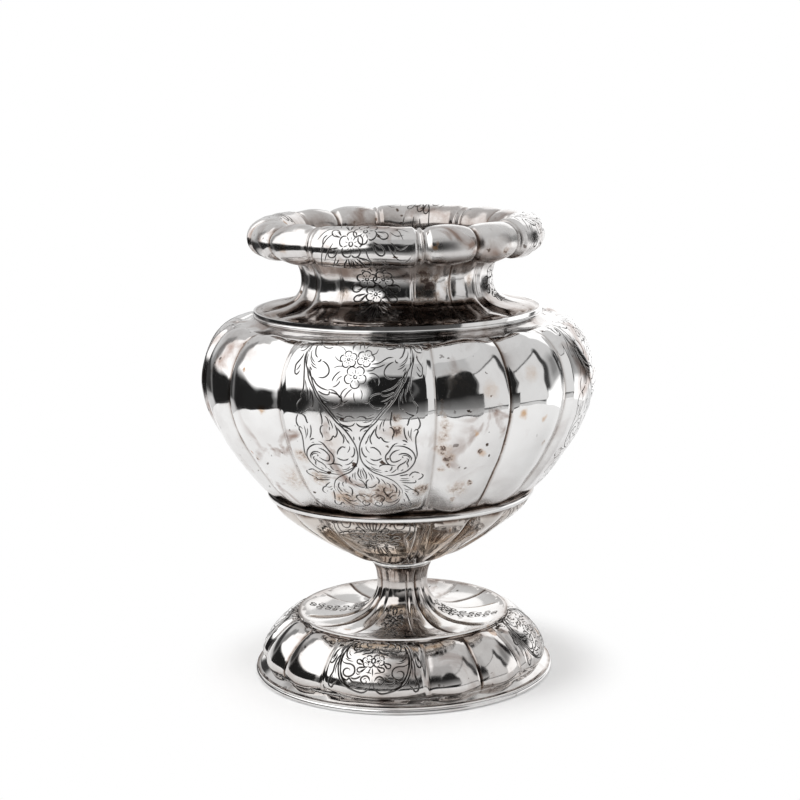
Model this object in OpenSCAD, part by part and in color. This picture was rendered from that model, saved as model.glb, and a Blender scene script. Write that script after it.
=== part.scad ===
// Baluster vase in silver sheet: a domed and dished foot on a plain wire, a short
// stem, a bowl in two halves under a girdle wire, a waisted neck and a rolled rim.
// Four broad panels stand at the front, back and sides, with plain lobes between
// them, and every sheet follows the same seams. Pieces butt or lap where they are
// soldered. The origin is the middle of the foot's underside.

/* [Metal] */
// Thickness of the raised sheet
sheet_t = 0.7; // [0.5:0.1:1]
// Solder gap between a wire and the sheet that it goes round
solder_gap = 0.05; // [0.02:0.01:0.1]

/* [Foot] */
// Outer radius of the foot wire, the reach of the foot
foot_r = 70; // [64:0.5:78]
// Height of the foot wire
foot_wire_h = 2.5; // [1.8:0.1:3.2]
// Width of the foot wire
foot_wire_w = 3.8; // [3.2:0.1:4.6]
// How far the flange's edge lies inside the reach of the foot
flange_inset = 0.8; // [0.5:0.1:1.2]
// Width of the level edge of the flange, which sits on the wire
flange_seat_w = 1.8; // [1.2:0.1:2.2]
// Width of the sloping band of the flange
flange_slope_w = 3.6; // [2.8:0.1:4.5]
// How far the flange rises to the foot of the lobes
flange_rise = 2.1; // [1.2:0.1:2.6]
// Height of the foot's dome above the foot wire
dome_h = 25; // [22:0.5:29]
// Radius of the ridge where the dome meets the dish
ridge_r = 49.3; // [46:0.1:52]
// How far the dish's edge stands out over the dome's turned up edge
ridge_lap = 0.6; // [0.3:0.1:0.9]
// Height of the dome's turned up edge
dome_lip_h = 1.2; // [0.8:0.1:1.6]

/* [Stem] */
// Width of the level edge of the dish
dish_edge_w = 1.4; // [1.1:0.1:1.8]
// How far the dish dips below its edge
dish_dip = 2.9; // [2:0.1:3.4]
// Radius where the dish is lowest
dish_low_r = 33; // [31:0.5:36]
// Narrowest radius of the stem
stem_r = 11.7; // [11.3:0.1:12.6]
// Height of the narrowest place above the dish's seat
stem_waist_h = 14.6; // [12:0.1:17]
// Height of the dish and stem above the dome
stem_h = 23.3; // [22:0.1:26]
// Radius of the stem's top edge
stem_top_r = 13.8; // [13.4:0.1:14]
// Radius of the collar between stem and bowl
collar_r = 14.7; // [14.6:0.1:16]
// Height of the collar
collar_h = 2.9; // [2.2:0.1:3.4]
// Radius of the hole through the collar
collar_bore_r = 9.5; // [8:0.1:10.2]

/* [Bowl] */
// Radius of the flat bottom of the lower bowl
calyx_seat_r = 14; // [13.5:0.1:15]
// Height of the lower bowl
calyx_h = 32.3; // [29:0.1:36]
// Radius of the seam between the two halves of the bowl
joint_r = 60.1; // [56:0.1:64]
// Height of the straight edge on either side of that seam
joint_lap = 2; // [1.6:0.1:2.4]
// Width of the girdle wire over the seam
girdle_w = 1.8; // [1.4:0.1:2.4]
// Height of the girdle wire
girdle_h = 3.8; // [3:0.1:4]
// Radius of the upper bowl at its widest, in the seams
belly_r = 87.9; // [84:0.1:94]
// Height of the widest place above the seam of the bowl
belly_h = 53; // [49:0.1:57]
// Height of the upper bowl
body_h = 84.4; // [80:0.1:90]
// Radius of the plain band at the top of the lobes
band_r = 71.5; // [70:0.1:74]
// Depth of that band below the shoulder wire's seat
band_dip = 2.7; // [1.8:0.1:3.4]

/* [Neck] */
// Radius of the bowl's turned up edge, which carries the neck
shoulder_r = 64.7; // [61:0.1:66]
// Height of that turned up edge
shoulder_lip_h = 2.4; // [2:0.1:3]
// Width of the moulded wire round it
shoulder_wire_w = 1.3; // [1:0.1:1.8]
// Height of that wire
shoulder_wire_h = 3.2; // [2.6:0.1:3.3]
// Width of the level edge of the neck, which sits on the bowl
neck_seat_w = 1.5; // [1.2:0.1:2]
// Narrowest radius of the neck, in the seams
neck_r = 42; // [40:0.1:44]
// Height of the narrowest place above the bowl
neck_waist_h = 14.4; // [12:0.1:17]
// Height of the neck
neck_h = 29.4; // [27:0.1:33]

/* [Rim] */
// Radius of the middle of the rolled rim
rim_r = 57.75; // [56:0.05:60]
// Width of the roll, in the seams
rim_w = 16.2; // [15:0.1:18.5]
// Height of the roll, in the seams
rim_h = 14.4; // [13:0.1:17]
// Angle below level at which the roll meets the neck
rim_seat_angle = 36; // [30:1:42]
// Angle left open under the roll, where its edge stops short of the neck
rim_slit_angle = 14; // [8:1:20]

/* [Lobes] */
// Number of broad panels round the vase
panels = 4; // [3:1:5]
// Number of plain lobes between two panels
lobes_between = 2; // [1:1:3]
// Height of the lobes on the dome of the foot
dome_raise = 2; // [0.8:0.1:2.4]
// Height of the lobes on the dish and stem
stem_raise = 0.7; // [0.3:0.1:0.8]
// Height of the lobes on the lower bowl
calyx_raise = 1.6; // [0.6:0.1:2]
// Height of the lobes on the upper bowl
body_raise = 2.4; // [1:0.1:2.8]
// Height of the lobes on the neck
neck_raise = 1.5; // [0.6:0.1:1.8]
// Height of the lobes on the rim
rim_raise = 1.6; // [0.5:0.1:2]

/* [Hidden] */

// Facets of the plain rings
ring_fn = 96;

// Share of a panel's half width that slopes down to its seam
panel_edge_share = 0.12;
// Where the panel's and the lobe's columns lie, as shares of their half widths
panel_cut_shares = [-1, -0.88, -0.66, -0.44, -0.22, 0, 0.22, 0.44, 0.66, 0.88];
lobe_cut_shares = [-1, -0.6, -0.2, 0.2, 0.6];
// How square a lobe's section is, and how far its ends arch
lobe_power = 2;
arch_share = 0.5;

// Bends of the outlines, as shares of the step from one end of a curve to the other
dome_out_shares = [[-0.24, 0.17], [0.25, 0.73]];
dish_edge_shares = [[0.35, 0.8], [0.7, 1]];
dish_stem_shares = [[0.62, -0.04], [1, 0.4]];
stem_flare_shares = [[0, 0.55], [0.45, 0.85]];
calyx_shares = [[0.33, 0.2], [0.74, 0.61]];
body_low_shares = [[0.3, 0.2], [0.97, 0.62]];
body_high_shares = [[0, 0.42], [0.36, 0.94]];
band_shares = [[0.5, -0.05], [0.82, 0.3]];
neck_low_shares = [[0.84, 0.02], [1, 0.45]];
neck_high_shares = [[0, 0.45], [0.4, 0.8]];
// Rows in each curve
dome_rows = 8;
dish_rows = 4;
stem_rows = 4;
flare_rows = 2;
calyx_rows = 7;
body_low_rows = 7;
body_high_rows = 6;
band_rows = 2;
neck_low_rows = 7;
neck_high_rows = 4;
rim_rows = 14;

// Levels at which the pieces meet, from the ground up
dome_z = foot_wire_h;
stem_z = dome_z + dome_h;
collar_z = stem_z + stem_h;
calyx_z = collar_z + collar_h;
joint_z = calyx_z + calyx_h;
neck_z = joint_z + body_h;
rim_z = neck_z + neck_h;

// Angle of one plain lobe; a panel takes two of them
lobe_angle = 360 / (panels * (2 + lobes_between));
// Angle from the middle of one panel to the next
panel_step = 360 / panels;

// A number kept between 0 and 1
function within_one(x) = min(1, max(0, x));

// Height share of a panel and of a lobe at share t of the half width
function panel_share(t) = within_one((1 - abs(t)) / panel_edge_share);
function lobe_share(t) = 1 - pow(abs(t), lobe_power);

// Columns round the vase: the angle, the share t and the height share of each.
// The first panel faces the front, along -Y.
columns = [
    for (p = [0:panels - 1])
        let (middle = p * panel_step - 90)
        each concat(
            [for (t = panel_cut_shares) [middle + t * lobe_angle, t, panel_share(t)]],
            [for (k = [0:lobes_between - 1])
                let (lobe_middle = middle + (k + 1.5) * lobe_angle)
                each [for (t = lobe_cut_shares)
                    [lobe_middle + t * lobe_angle / 2, t, lobe_share(t)]]]
        )
];

// A cubic curve from a to b, whose two bends are shares of the step from a to b.
// The first point is left out where the curve carries on from another.
function bend(a, b, shares, rows, first = 1) = [
    for (i = [first:rows])
        let (
            s = i / rows,
            c = [a.x + shares[0].x * (b.x - a.x), a.y + shares[0].y * (b.y - a.y)],
            d = [a.x + shares[1].x * (b.x - a.x), a.y + shares[1].y * (b.y - a.y)]
        )
        pow(1 - s, 3) * a + 3 * pow(1 - s, 2) * s * c + 3 * (1 - s) * s * s * d + pow(s, 3) * b
];

// Length of an outline up to its point i
function run(line, i) = i == 0 ? 0 : run(line, i - 1) + norm(line[i] - line[i - 1]);

// Direction square to an outline at point i, on its right hand side
function square_to(before, after) =
    let (step = after - before) [step.y, -step.x] / norm(step);

// How far a lobe's round end has risen, at share v past its end
function end_rise(v, t, reach) =
    let (x = within_one(v / reach - arch_share * t * t)) sqrt(1 - (1 - x) * (1 - x));

// Points of a lobed sheet whose outer face follows the outline line, set back by depth.
// Lobes raise by lift between points lobed.x and lobed.y of the outline, and their
// ends round off over the shares reach.x and reach.y of that stretch. facing holds the
// directions square to the outline.
function sheet_face(line, facing, lift, lobed, reach, depth) =
    let (
        start = run(line, lobed.x),
        length = run(line, lobed.y) - start
    )
    [
        for (i = [0:len(line) - 1])
            let (u = (run(line, i) - start) / length)
            for (c = columns)
                let (
                    ends = i <= lobed.x || i >= lobed.y ? 0
                        : min(end_rise(u, c[1], reach.x), end_rise(1 - u, c[1], reach.y)),
                    at = line[i] + (lift * c[2] * ends - depth) * facing[i]
                )
                [at.x * cos(c[0]), at.x * sin(c[0]), at.y]
    ];

// A lobed sheet of metal. first and last are the directions square to its two ends;
// a cup has a flat floor in its first ring instead of an open end.
module lobed_sheet(line, lift, lobed, reach, first, last, cup = false) {
    rows = len(line);
    n = len(columns);
    facing = [
        for (i = [0:rows - 1])
            i == 0 ? first : i == rows - 1 ? last : square_to(line[i - 1], line[i + 1])
    ];
    outer = sheet_face(line, facing, lift, lobed, reach, 0);
    inner = sheet_face(line, facing, lift, lobed, reach, sheet_t);
    last_row = (rows - 1) * n;
    back = rows * n;
    walls = [
        for (i = [0:rows - 2])
            for (k = [0:n - 1])
                let (
                    a = i * n + k,
                    b = i * n + (k + 1) % n,
                    c = a + n,
                    d = b + n
                )
                each [[a, c, b], [b, c, d], [a + back, b + back, c + back], [b + back, d + back, c + back]]
    ];
    first_end = cup
        ? [[for (k = [0:n - 1]) k], [for (k = [0:n - 1]) back + n - 1 - k]]
        : [for (k = [0:n - 1]) let (b = (k + 1) % n) each [[k, b, b + back], [k, b + back, k + back]]];
    last_end = [
        for (k = [0:n - 1])
            let (a = last_row + k, b = last_row + (k + 1) % n)
            each [[a, b + back, b], [a, a + back, b + back]]
    ];
    polyhedron(points = concat(outer, inner), faces = concat(walls, first_end, last_end));
}

// A ring of metal turned from a section drawn at radius 0, with its inner face at inner_r
module ring(inner_r) {
    rotate_extrude($fn = ring_fn)
        translate([inner_r, 0])
            children();
}

// A section with flat faces above, below and inside, and a half round outer face
module half_round(width, height) {
    bulge = height / 2;
    if (width > bulge)
        square([width - bulge, height]);
    intersection() {
        square([width, height]);
        translate([width - bulge, bulge])
            circle(r = bulge, $fn = 48);
    }
}

// Wire soldered under the flange, which the vase stands on
module foot_rim_wire() {
    color("silver")
        ring(foot_r - foot_wire_w)
            half_round(foot_wire_w, foot_wire_h);
}

// Domed foot: a level edge on the wire, a sloping band, a cove and the lobed dome,
// whose top edge is turned up to carry the dish
module foot_dome() {
    edge_r = foot_r - flange_inset;
    slope_r = edge_r - flange_seat_w;
    cove_r = slope_r - flange_slope_w;
    top_z = dome_z + sheet_t;
    cove = [cove_r, top_z + flange_rise];
    lip = [ridge_r - ridge_lap, stem_z - dome_lip_h];
    line = concat(
        [[edge_r, top_z], [slope_r, top_z]],
        [cove],
        bend(cove, lip, dome_out_shares, dome_rows),
        [[lip.x, stem_z]]
    );
    color("silver")
        lobed_sheet(line, dome_raise, [2, 2 + dome_rows], [0.2, 0.2], [0, 1], [1, 0]);
}

// Dish and hollow stem, raised from one sheet: a level edge over the dome, a dish
// that dips, and a fluted trumpet that narrows and flares again under the collar
module foot_dish_and_stem() {
    edge_z = stem_z + sheet_t;
    edge = [ridge_r - dish_edge_w, edge_z];
    low = [dish_low_r, edge_z - dish_dip];
    waist = [stem_r - stem_raise, stem_z + stem_waist_h];
    line = concat(
        [[ridge_r, edge_z], edge],
        bend(edge, low, dish_edge_shares, dish_rows),
        bend(low, waist, dish_stem_shares, stem_rows),
        bend(waist, [stem_top_r, collar_z], stem_flare_shares, flare_rows)
    );
    color("silver")
        lobed_sheet(line, stem_raise, [1, len(line) - 1], [0.12, 0.1], [0, 1], [1, 0]);
}

// Plain ring between the stem and the bowl
module stem_collar() {
    color("silver")
        translate([0, 0, collar_z])
            ring(collar_bore_r)
                half_round(collar_r - collar_bore_r, collar_h);
}

// Lower half of the bowl, a lobed cup with a flat floor that stands on the collar
module lower_bowl() {
    seat = [calyx_seat_r, calyx_z];
    edge = [joint_r, joint_z - joint_lap];
    line = concat(
        [seat],
        bend(seat, edge, calyx_shares, calyx_rows),
        [[joint_r, joint_z]]
    );
    floor_facing = square_to([0, calyx_z], line[1]);
    color("silver")
        lobed_sheet(line, calyx_raise, [0, calyx_rows], [0.25, 0.2],
                    floor_facing / -floor_facing.y, [1, 0], cup = true);
}

// Wire that covers the seam between the two halves of the bowl
module girdle_wire() {
    color("silver")
        translate([0, 0, joint_z - girdle_h / 2])
            ring(joint_r + solder_gap)
                half_round(girdle_w, girdle_h);
}

// Upper half of the bowl: the lobed belly and shoulder, a plain hollow band at the
// top of the lobes, and an edge turned up to carry the neck
module upper_bowl() {
    edge = [joint_r, joint_z + joint_lap];
    belly = [belly_r, joint_z + belly_h];
    seat_z = neck_z - shoulder_lip_h;
    band = [band_r, seat_z - band_dip];
    line = concat(
        [[joint_r, joint_z], edge],
        bend(edge, belly, body_low_shares, body_low_rows),
        bend(belly, band, body_high_shares, body_high_rows),
        bend(band, [shoulder_r, seat_z], band_shares, band_rows),
        [[shoulder_r, neck_z]]
    );
    color("silver")
        lobed_sheet(line, body_raise, [1, 1 + body_low_rows + body_high_rows], [0.12, 0.1], [1, 0], [1, 0]);
}

// Moulded wire round the foot of the neck: a fillet, a groove and a bead
module shoulder_wire() {
    groove_w = shoulder_wire_w / 2;
    bead_h = shoulder_wire_h / 2;
    color("silver")
        translate([0, 0, neck_z + sheet_t - shoulder_wire_h])
            ring(shoulder_r + solder_gap) {
                square([groove_w, shoulder_wire_h]);
                half_round(shoulder_wire_w, bead_h);
                translate([0, shoulder_wire_h * 3 / 4])
                    square([shoulder_wire_w * 3 / 4, shoulder_wire_h / 4]);
            }
}

// Waisted and lobed neck, from its level edge on the bowl up to the rolled rim
module neck() {
    edge_z = neck_z + sheet_t;
    edge = [shoulder_r - neck_seat_w, edge_z];
    waist = [neck_r, neck_z + neck_waist_h];
    top = [rim_r - rim_w / 2 * cos(rim_seat_angle) + sheet_t, rim_z];
    line = concat(
        [[shoulder_r, edge_z], edge],
        bend(edge, waist, neck_low_shares, neck_low_rows),
        bend(waist, top, neck_high_shares, neck_high_rows)
    );
    color("silver")
        lobed_sheet(line, neck_raise, [1, len(line) - 1], [0.15, 0.15], [0, 1], [1, 0]);
}

// Hollow rolled rim: sheet curled from a free edge beside the neck, under, out, over
// the top and down to the neck's upper edge
module rolled_rim() {
    middle_z = rim_z + rim_h / 2 * sin(rim_seat_angle);
    from = rim_slit_angle + rim_seat_angle - 180;
    to = 180 + rim_seat_angle;
    line = [
        for (i = [0:rim_rows])
            let (a = from + (to - from) * i / rim_rows)
            [rim_r + rim_w / 2 * cos(a), middle_z + rim_h / 2 * sin(a)]
    ];
    color("silver")
        lobed_sheet(line, rim_raise, [0, rim_rows], [0.1, 0.12], square_to(line[0], line[1]), [-1, 0]);
}

foot_rim_wire();
foot_dome();
foot_dish_and_stem();
stem_collar();
lower_bowl();
girdle_wire();
upper_bowl();
shoulder_wire();
neck();
rolled_rim();
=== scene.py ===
import bpy
import numpy as np
from mathutils import Matrix, Vector
from mathutils.geometry import delaunay_2d_cdt


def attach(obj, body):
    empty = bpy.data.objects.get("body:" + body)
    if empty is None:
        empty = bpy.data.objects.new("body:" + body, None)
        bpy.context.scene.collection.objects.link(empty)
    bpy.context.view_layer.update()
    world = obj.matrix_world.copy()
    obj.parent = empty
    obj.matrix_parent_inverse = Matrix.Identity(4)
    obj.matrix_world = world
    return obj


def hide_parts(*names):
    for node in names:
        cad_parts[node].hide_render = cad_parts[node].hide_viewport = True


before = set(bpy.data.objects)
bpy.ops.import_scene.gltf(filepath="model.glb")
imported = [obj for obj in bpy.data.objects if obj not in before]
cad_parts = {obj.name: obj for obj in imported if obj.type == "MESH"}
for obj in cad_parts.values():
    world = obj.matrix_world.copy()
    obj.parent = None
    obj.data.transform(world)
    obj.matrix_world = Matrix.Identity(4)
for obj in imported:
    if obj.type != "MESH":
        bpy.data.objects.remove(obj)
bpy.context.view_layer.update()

# The view: a long lens a little above the rim. It stands some way to the right of the
# front panel's middle, looks slightly down and is tilted by one degree.
view_degrees = 12.5
view_distance, view_height = 0.8274, 0.2814
view_turn, view_pitch, view_roll = np.radians([view_degrees, 10.54, -1.0])
camera_data = bpy.data.cameras.new("view")
camera_data.sensor_width = 36
camera_data.lens = 81.95
camera_data.shift_x = 0.9 / 800
camera = bpy.data.objects.new("view", camera_data)
camera.matrix_world = (
    Matrix.Translation((view_distance * np.sin(view_turn), -view_distance * np.cos(view_turn), view_height))
    @ Matrix.Rotation(view_turn, 4, "Z")
    @ Matrix.Rotation(np.pi / 2 - view_pitch, 4, "X")
    @ Matrix.Rotation(view_roll, 4, "Z")
)
bpy.context.collection.objects.link(camera)
bpy.context.scene.camera = camera
bpy.context.scene.view_settings.view_transform = "Standard"


# Foot wire: D-section silver wire bent into a ring and soldered under the foot's
# edge. The vase stands on its flat underside.
def node(tree, kind, label="", **values):
    """Adds one shader node. Values go to its sockets by name, or by number where the
    name is in0, in1 and so on, and a value that is a socket of another node is linked."""
    made = tree.nodes.new("ShaderNode" + kind)
    made.label = label
    for name, value in values.items():
        if name[:2] == "in" and name[2:].isdigit():
            socket = made.inputs[int(name[2:])]
        elif hasattr(made, name):
            setattr(made, name, value)
            continue
        else:
            socket = made.inputs[name.replace("_", " ")]
        if isinstance(value, bpy.types.NodeSocket):
            tree.links.new(value, socket)
        else:
            socket.default_value = value
    return made


def ragged(tree, place, scale, detail, reach):
    """The place moved by a noise, up to reach in metres along each axis. What is
    measured from it gets ragged edges."""
    shift = node(tree, "TexNoise", "ragged edges", Vector=place, Scale=scale, Detail=detail).outputs[1]
    moved = node(tree, "VectorMath", operation="MULTIPLY_ADD", in0=shift, in1=(reach,) * 3, in2=place)
    return moved.outputs[0]


def silver_group():
    """The look of worn silver as a node group. Soft clouds of tarnish come from two
    noises, stains from a third, small round spots and specks from some cells of Voronoi
    patterns, and fine wiping marks from a stretched noise. Aged and Rust are masks of
    single marks, mottled by a fine noise. Warm turns the metal golden, a patchy layer of
    soiling and painted shade lies over it, and black oxide fills what is cut."""
    tree = bpy.data.node_groups.new("worn silver", "ShaderNodeTree")
    amounts = {"Tarnish": 0.4, "Stains": 0.3, "Spots": 0.3, "Cut": 0, "Grime_and_shade": 0, "Haze": 0, "Polish": 0.05,
               "Aged": 0, "Rust": 0, "Warm": 0}
    for name, value in amounts.items():
        socket = tree.interface.new_socket(name, in_out="INPUT", socket_type="NodeSocketFloat")
        socket.default_value = value
    for name, kind in (("Color", "Color"), ("Roughness", "Float"), ("Height", "Float")):
        tree.interface.new_socket(name, in_out="OUTPUT", socket_type="NodeSocket" + kind)
    given = tree.nodes.new("NodeGroupInput").outputs
    place = node(tree, "TexCoord").outputs["Object"]

    def ramp(value, low, high, lowest=0.0, highest=1.0):
        """Values from low to high become lowest to highest."""
        return node(tree, "MapRange", in0=value, in1=low, in2=high, in3=lowest, in4=highest).outputs[0]

    def noise(label, scale, *ends, **values):
        """A noise over the piece's own place, spread by a ramp."""
        return ramp(node(tree, "TexNoise", label, Vector=place, Scale=scale, **values).outputs[0], *ends)

    def times(first, second, more=0.0, clamp=True):
        """The product of two values plus a third, held between 0 and 1."""
        made = node(tree, "Math", operation="MULTIPLY_ADD", in0=first, in1=second, in2=more)
        made.use_clamp = clamp
        return made.outputs[0]

    def dots(label, scale, rare, reach, soft):
        """Dots with soft ragged edges in those cells of a Voronoi pattern whose chance
        is over rare. The higher the chance, the wider the dot, up to reach."""
        cells = node(tree, "TexVoronoi", label, Vector=moved, Scale=scale).outputs
        chance = node(tree, "SeparateColor", in0=cells["Color"]).outputs[0]
        wide = ramp(chance, rare, 1.0, 0.0, reach)
        inside = node(tree, "Math", operation="SUBTRACT", in0=wide, in1=cells["Distance"]).outputs[0]
        return ramp(inside, 0.0, soft)

    cloud = noise("tarnish clouds", 34, 0.4, 0.72, Detail=7, Roughness=0.62)
    bloom = noise("broad tarnish", 11, 0.35, 0.7, Detail=3)
    tarnish = times(times(cloud, bloom), given["Tarnish"])
    gathered = noise("where stains gather", 17, 0.44, 0.6, Detail=2)
    stain = noise("stains", 62, 0.52, 0.7, Detail=6, Distortion=0.8)
    stain = times(times(stain, gathered), given["Stains"])
    moved = ragged(tree, place, 420, 2, 0.003)
    spot = times(dots("spots", 62, 0.78, 0.22, 0.05), given["Spots"])
    speck = times(times(dots("specks", 330, 0.8, 0.4, 0.08), gathered), given["Stains"])
    mottle = noise("mottled marks", 480, 0.36, 0.62, 0.15, 1.15, Detail=4, Roughness=0.7)
    mark = times(mottle, given["Aged"])
    rust = times(times(mottle, 0.5, 0.45, clamp=False), given["Rust"])
    # Soiling and painted shade: their amount, made patchy, turns the metal brown and then near black.
    patch = noise("patchy grime", 95, 0.3, 0.68, 0.45, 1.25, Detail=5, Roughness=0.65)
    patch = times(patch, given["Grime_and_shade"])
    color = (0.78, 0.775, 0.77, 1)
    for share, tint in (
        (given["Warm"], (0.67, 0.55, 0.435)), (tarnish, (0.36, 0.32, 0.305)), (stain, (0.30, 0.225, 0.195)),
        (spot, (0.42, 0.22, 0.09)), (speck, (0.08, 0.06, 0.05)), (times(mark, 1.4), (0.50, 0.41, 0.345)),
        (times(mark, 2.4, -1.2), (0.12, 0.088, 0.078)), (rust, (0.50, 0.30, 0.15)),
        (times(patch, 1.5), (0.20, 0.145, 0.115)), (times(patch, 2, -1), (0.03, 0.024, 0.02)),
        (given["Cut"], (0.022, 0.019, 0.017)),
    ):
        color = node(tree, "Mix", data_type="RGBA", in0=share, in6=color, in7=(*tint, 1)).outputs[2]
    long = node(tree, "Mapping", in0=place, in3=(900, 900, 240)).outputs[0]
    wipe = node(tree, "TexNoise", "wiping marks", Vector=long, Scale=1, Detail=4).outputs[0]
    dull = ramp(wipe, 0.3, 0.75, 0.0, 0.05)
    for share, amount in (
        (tarnish, 0.16), (spot, 0.25), (given["Cut"], 0.35), (patch, 0.08), (given["Haze"], 0.3),
        (mark, 0.3), (given["Polish"], 1),
    ):
        dull = times(share, amount, dull)
    out = tree.nodes.new("NodeGroupOutput").inputs
    tree.links.new(color, out["Color"])
    tree.links.new(dull, out["Roughness"])
    tree.links.new(wipe, out["Height"])
    return tree


worn_silver = silver_group()


def silver(name, relief=0.02, engraved=False, marks=(), **values):
    """A silver material: the worn silver group with this piece's own amounts, and a
    faint bump from its wiping marks. Each mark has a kind, degrees round from the
    front, its distance from the axis, height and radius in mm, and a strength. It is a
    soft ball with a ragged edge, and the strongest counts where marks meet."""
    made = bpy.data.materials.new(name)
    made.use_nodes = True
    tree = made.node_tree
    tree.nodes.clear()
    worn = tree.nodes.new("ShaderNodeGroup")
    worn.node_tree = worn_silver
    for key, value in values.items():
        worn.inputs[key.capitalize()].default_value = value
    for key in ("cut", "grime_and_shade", "haze") if engraved else ():
        share = node(tree, "Attribute", attribute_name=key)
        tree.links.new(share.outputs["Fac"], worn.inputs[key.capitalize()])
    # The noise moves each place by up to 4 mm, so each ball stands at its mean shift.
    shift = 0.004
    if marks:
        moved = ragged(tree, node(tree, "TexCoord").outputs["Object"], 260, 4, shift)
    for kind, turn, away, height, radius, strength in marks:
        angle = np.radians(turn)
        centre = np.array([away * np.sin(angle), -away * np.cos(angle), height]) / 1000 + shift / 2
        gap = node(tree, "VectorMath", operation="DISTANCE", in0=moved, in1=centre)
        share = node(tree, "MapRange", in0=gap.outputs["Value"], in1=radius * 0.0003, in2=radius * 0.0013,
                     in3=strength, in4=0.0, interpolation_type="SMOOTHSTEP")
        given = worn.inputs[kind]
        before = given.links[0].from_socket if given.links else given.default_value
        most = node(tree, "Math", operation="MAXIMUM", in0=share.outputs[0], in1=before)
        tree.links.new(most.outputs[0], given)
    bump = node(tree, "Bump", Strength=relief, Distance=0.0002, Height=worn.outputs["Height"])
    metal = node(tree, "BsdfPrincipled", Base_Color=worn.outputs["Color"],
                 Roughness=worn.outputs["Roughness"], Metallic=1.0, Normal=bump.outputs[0])
    node(tree, "OutputMaterial", Surface=metal.outputs[0])
    return made


def put(name, replaced, points, faces, facing, material, shares=None):
    """A mesh from arrays of points in mm and triangles. facing holds a direction for
    each corner, and shares holds named values for each corner."""
    mesh = bpy.data.meshes.new(name)
    mesh.vertices.add(len(points))
    mesh.vertices.foreach_set("co", (points / 1000).ravel())
    mesh.loops.add(faces.size)
    mesh.loops.foreach_set("vertex_index", faces.ravel())
    mesh.polygons.add(len(faces))
    mesh.polygons.foreach_set("loop_start", np.arange(0, faces.size, 3))
    mesh.update(calc_edges=True)
    mesh.polygons.foreach_set("use_smooth", np.ones(len(faces), bool))
    for key, value in (shares or {}).items():
        mesh.attributes.new(key, "FLOAT", "CORNER").data.foreach_set("value", value.ravel())
    mesh.normals_split_custom_set(facing.reshape(-1, 3))
    mesh.materials.append(material)
    made = bpy.data.objects.new(name, mesh)
    bpy.context.collection.objects.link(made)
    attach(made, "root")
    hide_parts(replaced)


def wire(name, replaced, section, material, columns=288):
    """A ring of wire: its closed section (radius and height in mm) is carried round
    the axis in even steps. Each face looks square to the section's own side, and the
    directions are smoothed where the section bends by less than 40 degrees."""
    section = np.array(section, float)
    turn = np.arange(columns) * 2 * np.pi / columns
    round_way = np.stack([np.cos(turn), np.sin(turn)], -1)
    count = len(section)
    level = section[None, :, :1] * round_way[:, None]
    upright = np.broadcast_to(section[None, :, 1:], (columns, count, 1))
    points = np.concatenate([level, upright], 2)
    i, k = np.meshgrid(np.arange(columns), np.arange(count), indexing="ij")
    a, b = i * count + k, i * count + (k + 1) % count
    c, d = (i + 1) % columns * count + k, (i + 1) % columns * count + (k + 1) % count
    faces = np.concatenate([np.stack([a, c, b], -1).reshape(-1, 3), np.stack([b, c, d], -1).reshape(-1, 3)])
    step = np.roll(section, -1, 0) - section
    side = np.stack([step[:, 1], -step[:, 0]], -1) / np.hypot(*step.T)[:, None]
    before = np.roll(side, 1, 0)
    soft = (side * before).sum(1) > np.cos(np.radians(40))
    mean = (side + before) / np.linalg.norm(side + before, axis=1)[:, None]
    start = np.where(soft[:, None], mean, side)
    end = np.where(np.roll(soft, -1)[:, None], np.roll(mean, -1, 0), side)

    def turned(flat, column):
        across = flat[k, 0][..., None] * round_way[column % columns]
        return np.concatenate([across, flat[k, 1][..., None]], -1)

    low = np.stack([turned(start, i), turned(start, i + 1), turned(end, i)], 2).reshape(-1, 3, 3)
    high = np.stack([turned(end, i), turned(start, i + 1), turned(end, i + 1)], 2).reshape(-1, 3, 3)
    put(name, replaced, points.reshape(-1, 3), faces, np.concatenate([low, high]), material)


def half_round(inner, width, low, height, steps=14):
    """Section of a wire that is flat inside, above and below and half round outside."""
    bulge = height / 2
    turn = np.linspace(-np.pi / 2, np.pi / 2, steps + 1)
    reach = inner + max(width - bulge, 0)
    arc = np.stack([reach + min(bulge, width) * np.cos(turn), low + bulge + bulge * np.sin(turn)], -1)
    return np.vstack([[[inner, low]], arc, [[inner, low + height]]]) if width > bulge else arc


wire_silver = silver("wire silver", relief=0.03, tarnish=0.7, stains=0.5, spots=0.3, polish=0.07)
wire("foot_rim_wire_bent", "foot_rim_wire", half_round(66.2, 3.8, 0, 2.5), wire_silver)


# Domed foot: one sheet of silver, raised into a level edge, a sloping band, a cove
# and a dome with four engraved panels. It is soldered on the foot wire.
sheet_t, row_space = 0.7, 1.6
quarter, panel_half, lobe_half = 90.0, 22.5, 11.25
panel_shares = np.array([0.0, 0.06, 0.12, 0.18, 0.24, 0.3, 0.36, 0.42, 0.48, 0.54, 0.6, 0.66, 0.72, 0.78,
                         0.82, 0.844, 0.862, 0.88, 0.898, 0.916, 0.94, 0.965, 0.985, 1.0])
lobe_shares = np.array([0.0, 0.12, 0.24, 0.36, 0.47, 0.57, 0.67, 0.76, 0.84, 0.91, 0.955, 0.985, 1.0])
panel_columns = np.r_[-panel_shares[:0:-1], panel_shares]
lobe_columns = np.r_[-lobe_shares[:0:-1], lobe_shares]
# The fields of a sheet by middle and half width in degrees and their columns of points:
# each quarter of the vase has a panel and two lobes.
fields = [
    (start + step, half, columns) for start in (-90, 0, 90, 180) for step, half, columns in (
        (0, panel_half, panel_columns), (panel_half + lobe_half, lobe_half, lobe_columns),
        (panel_half + 3 * lobe_half, lobe_half, lobe_columns))]


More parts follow.
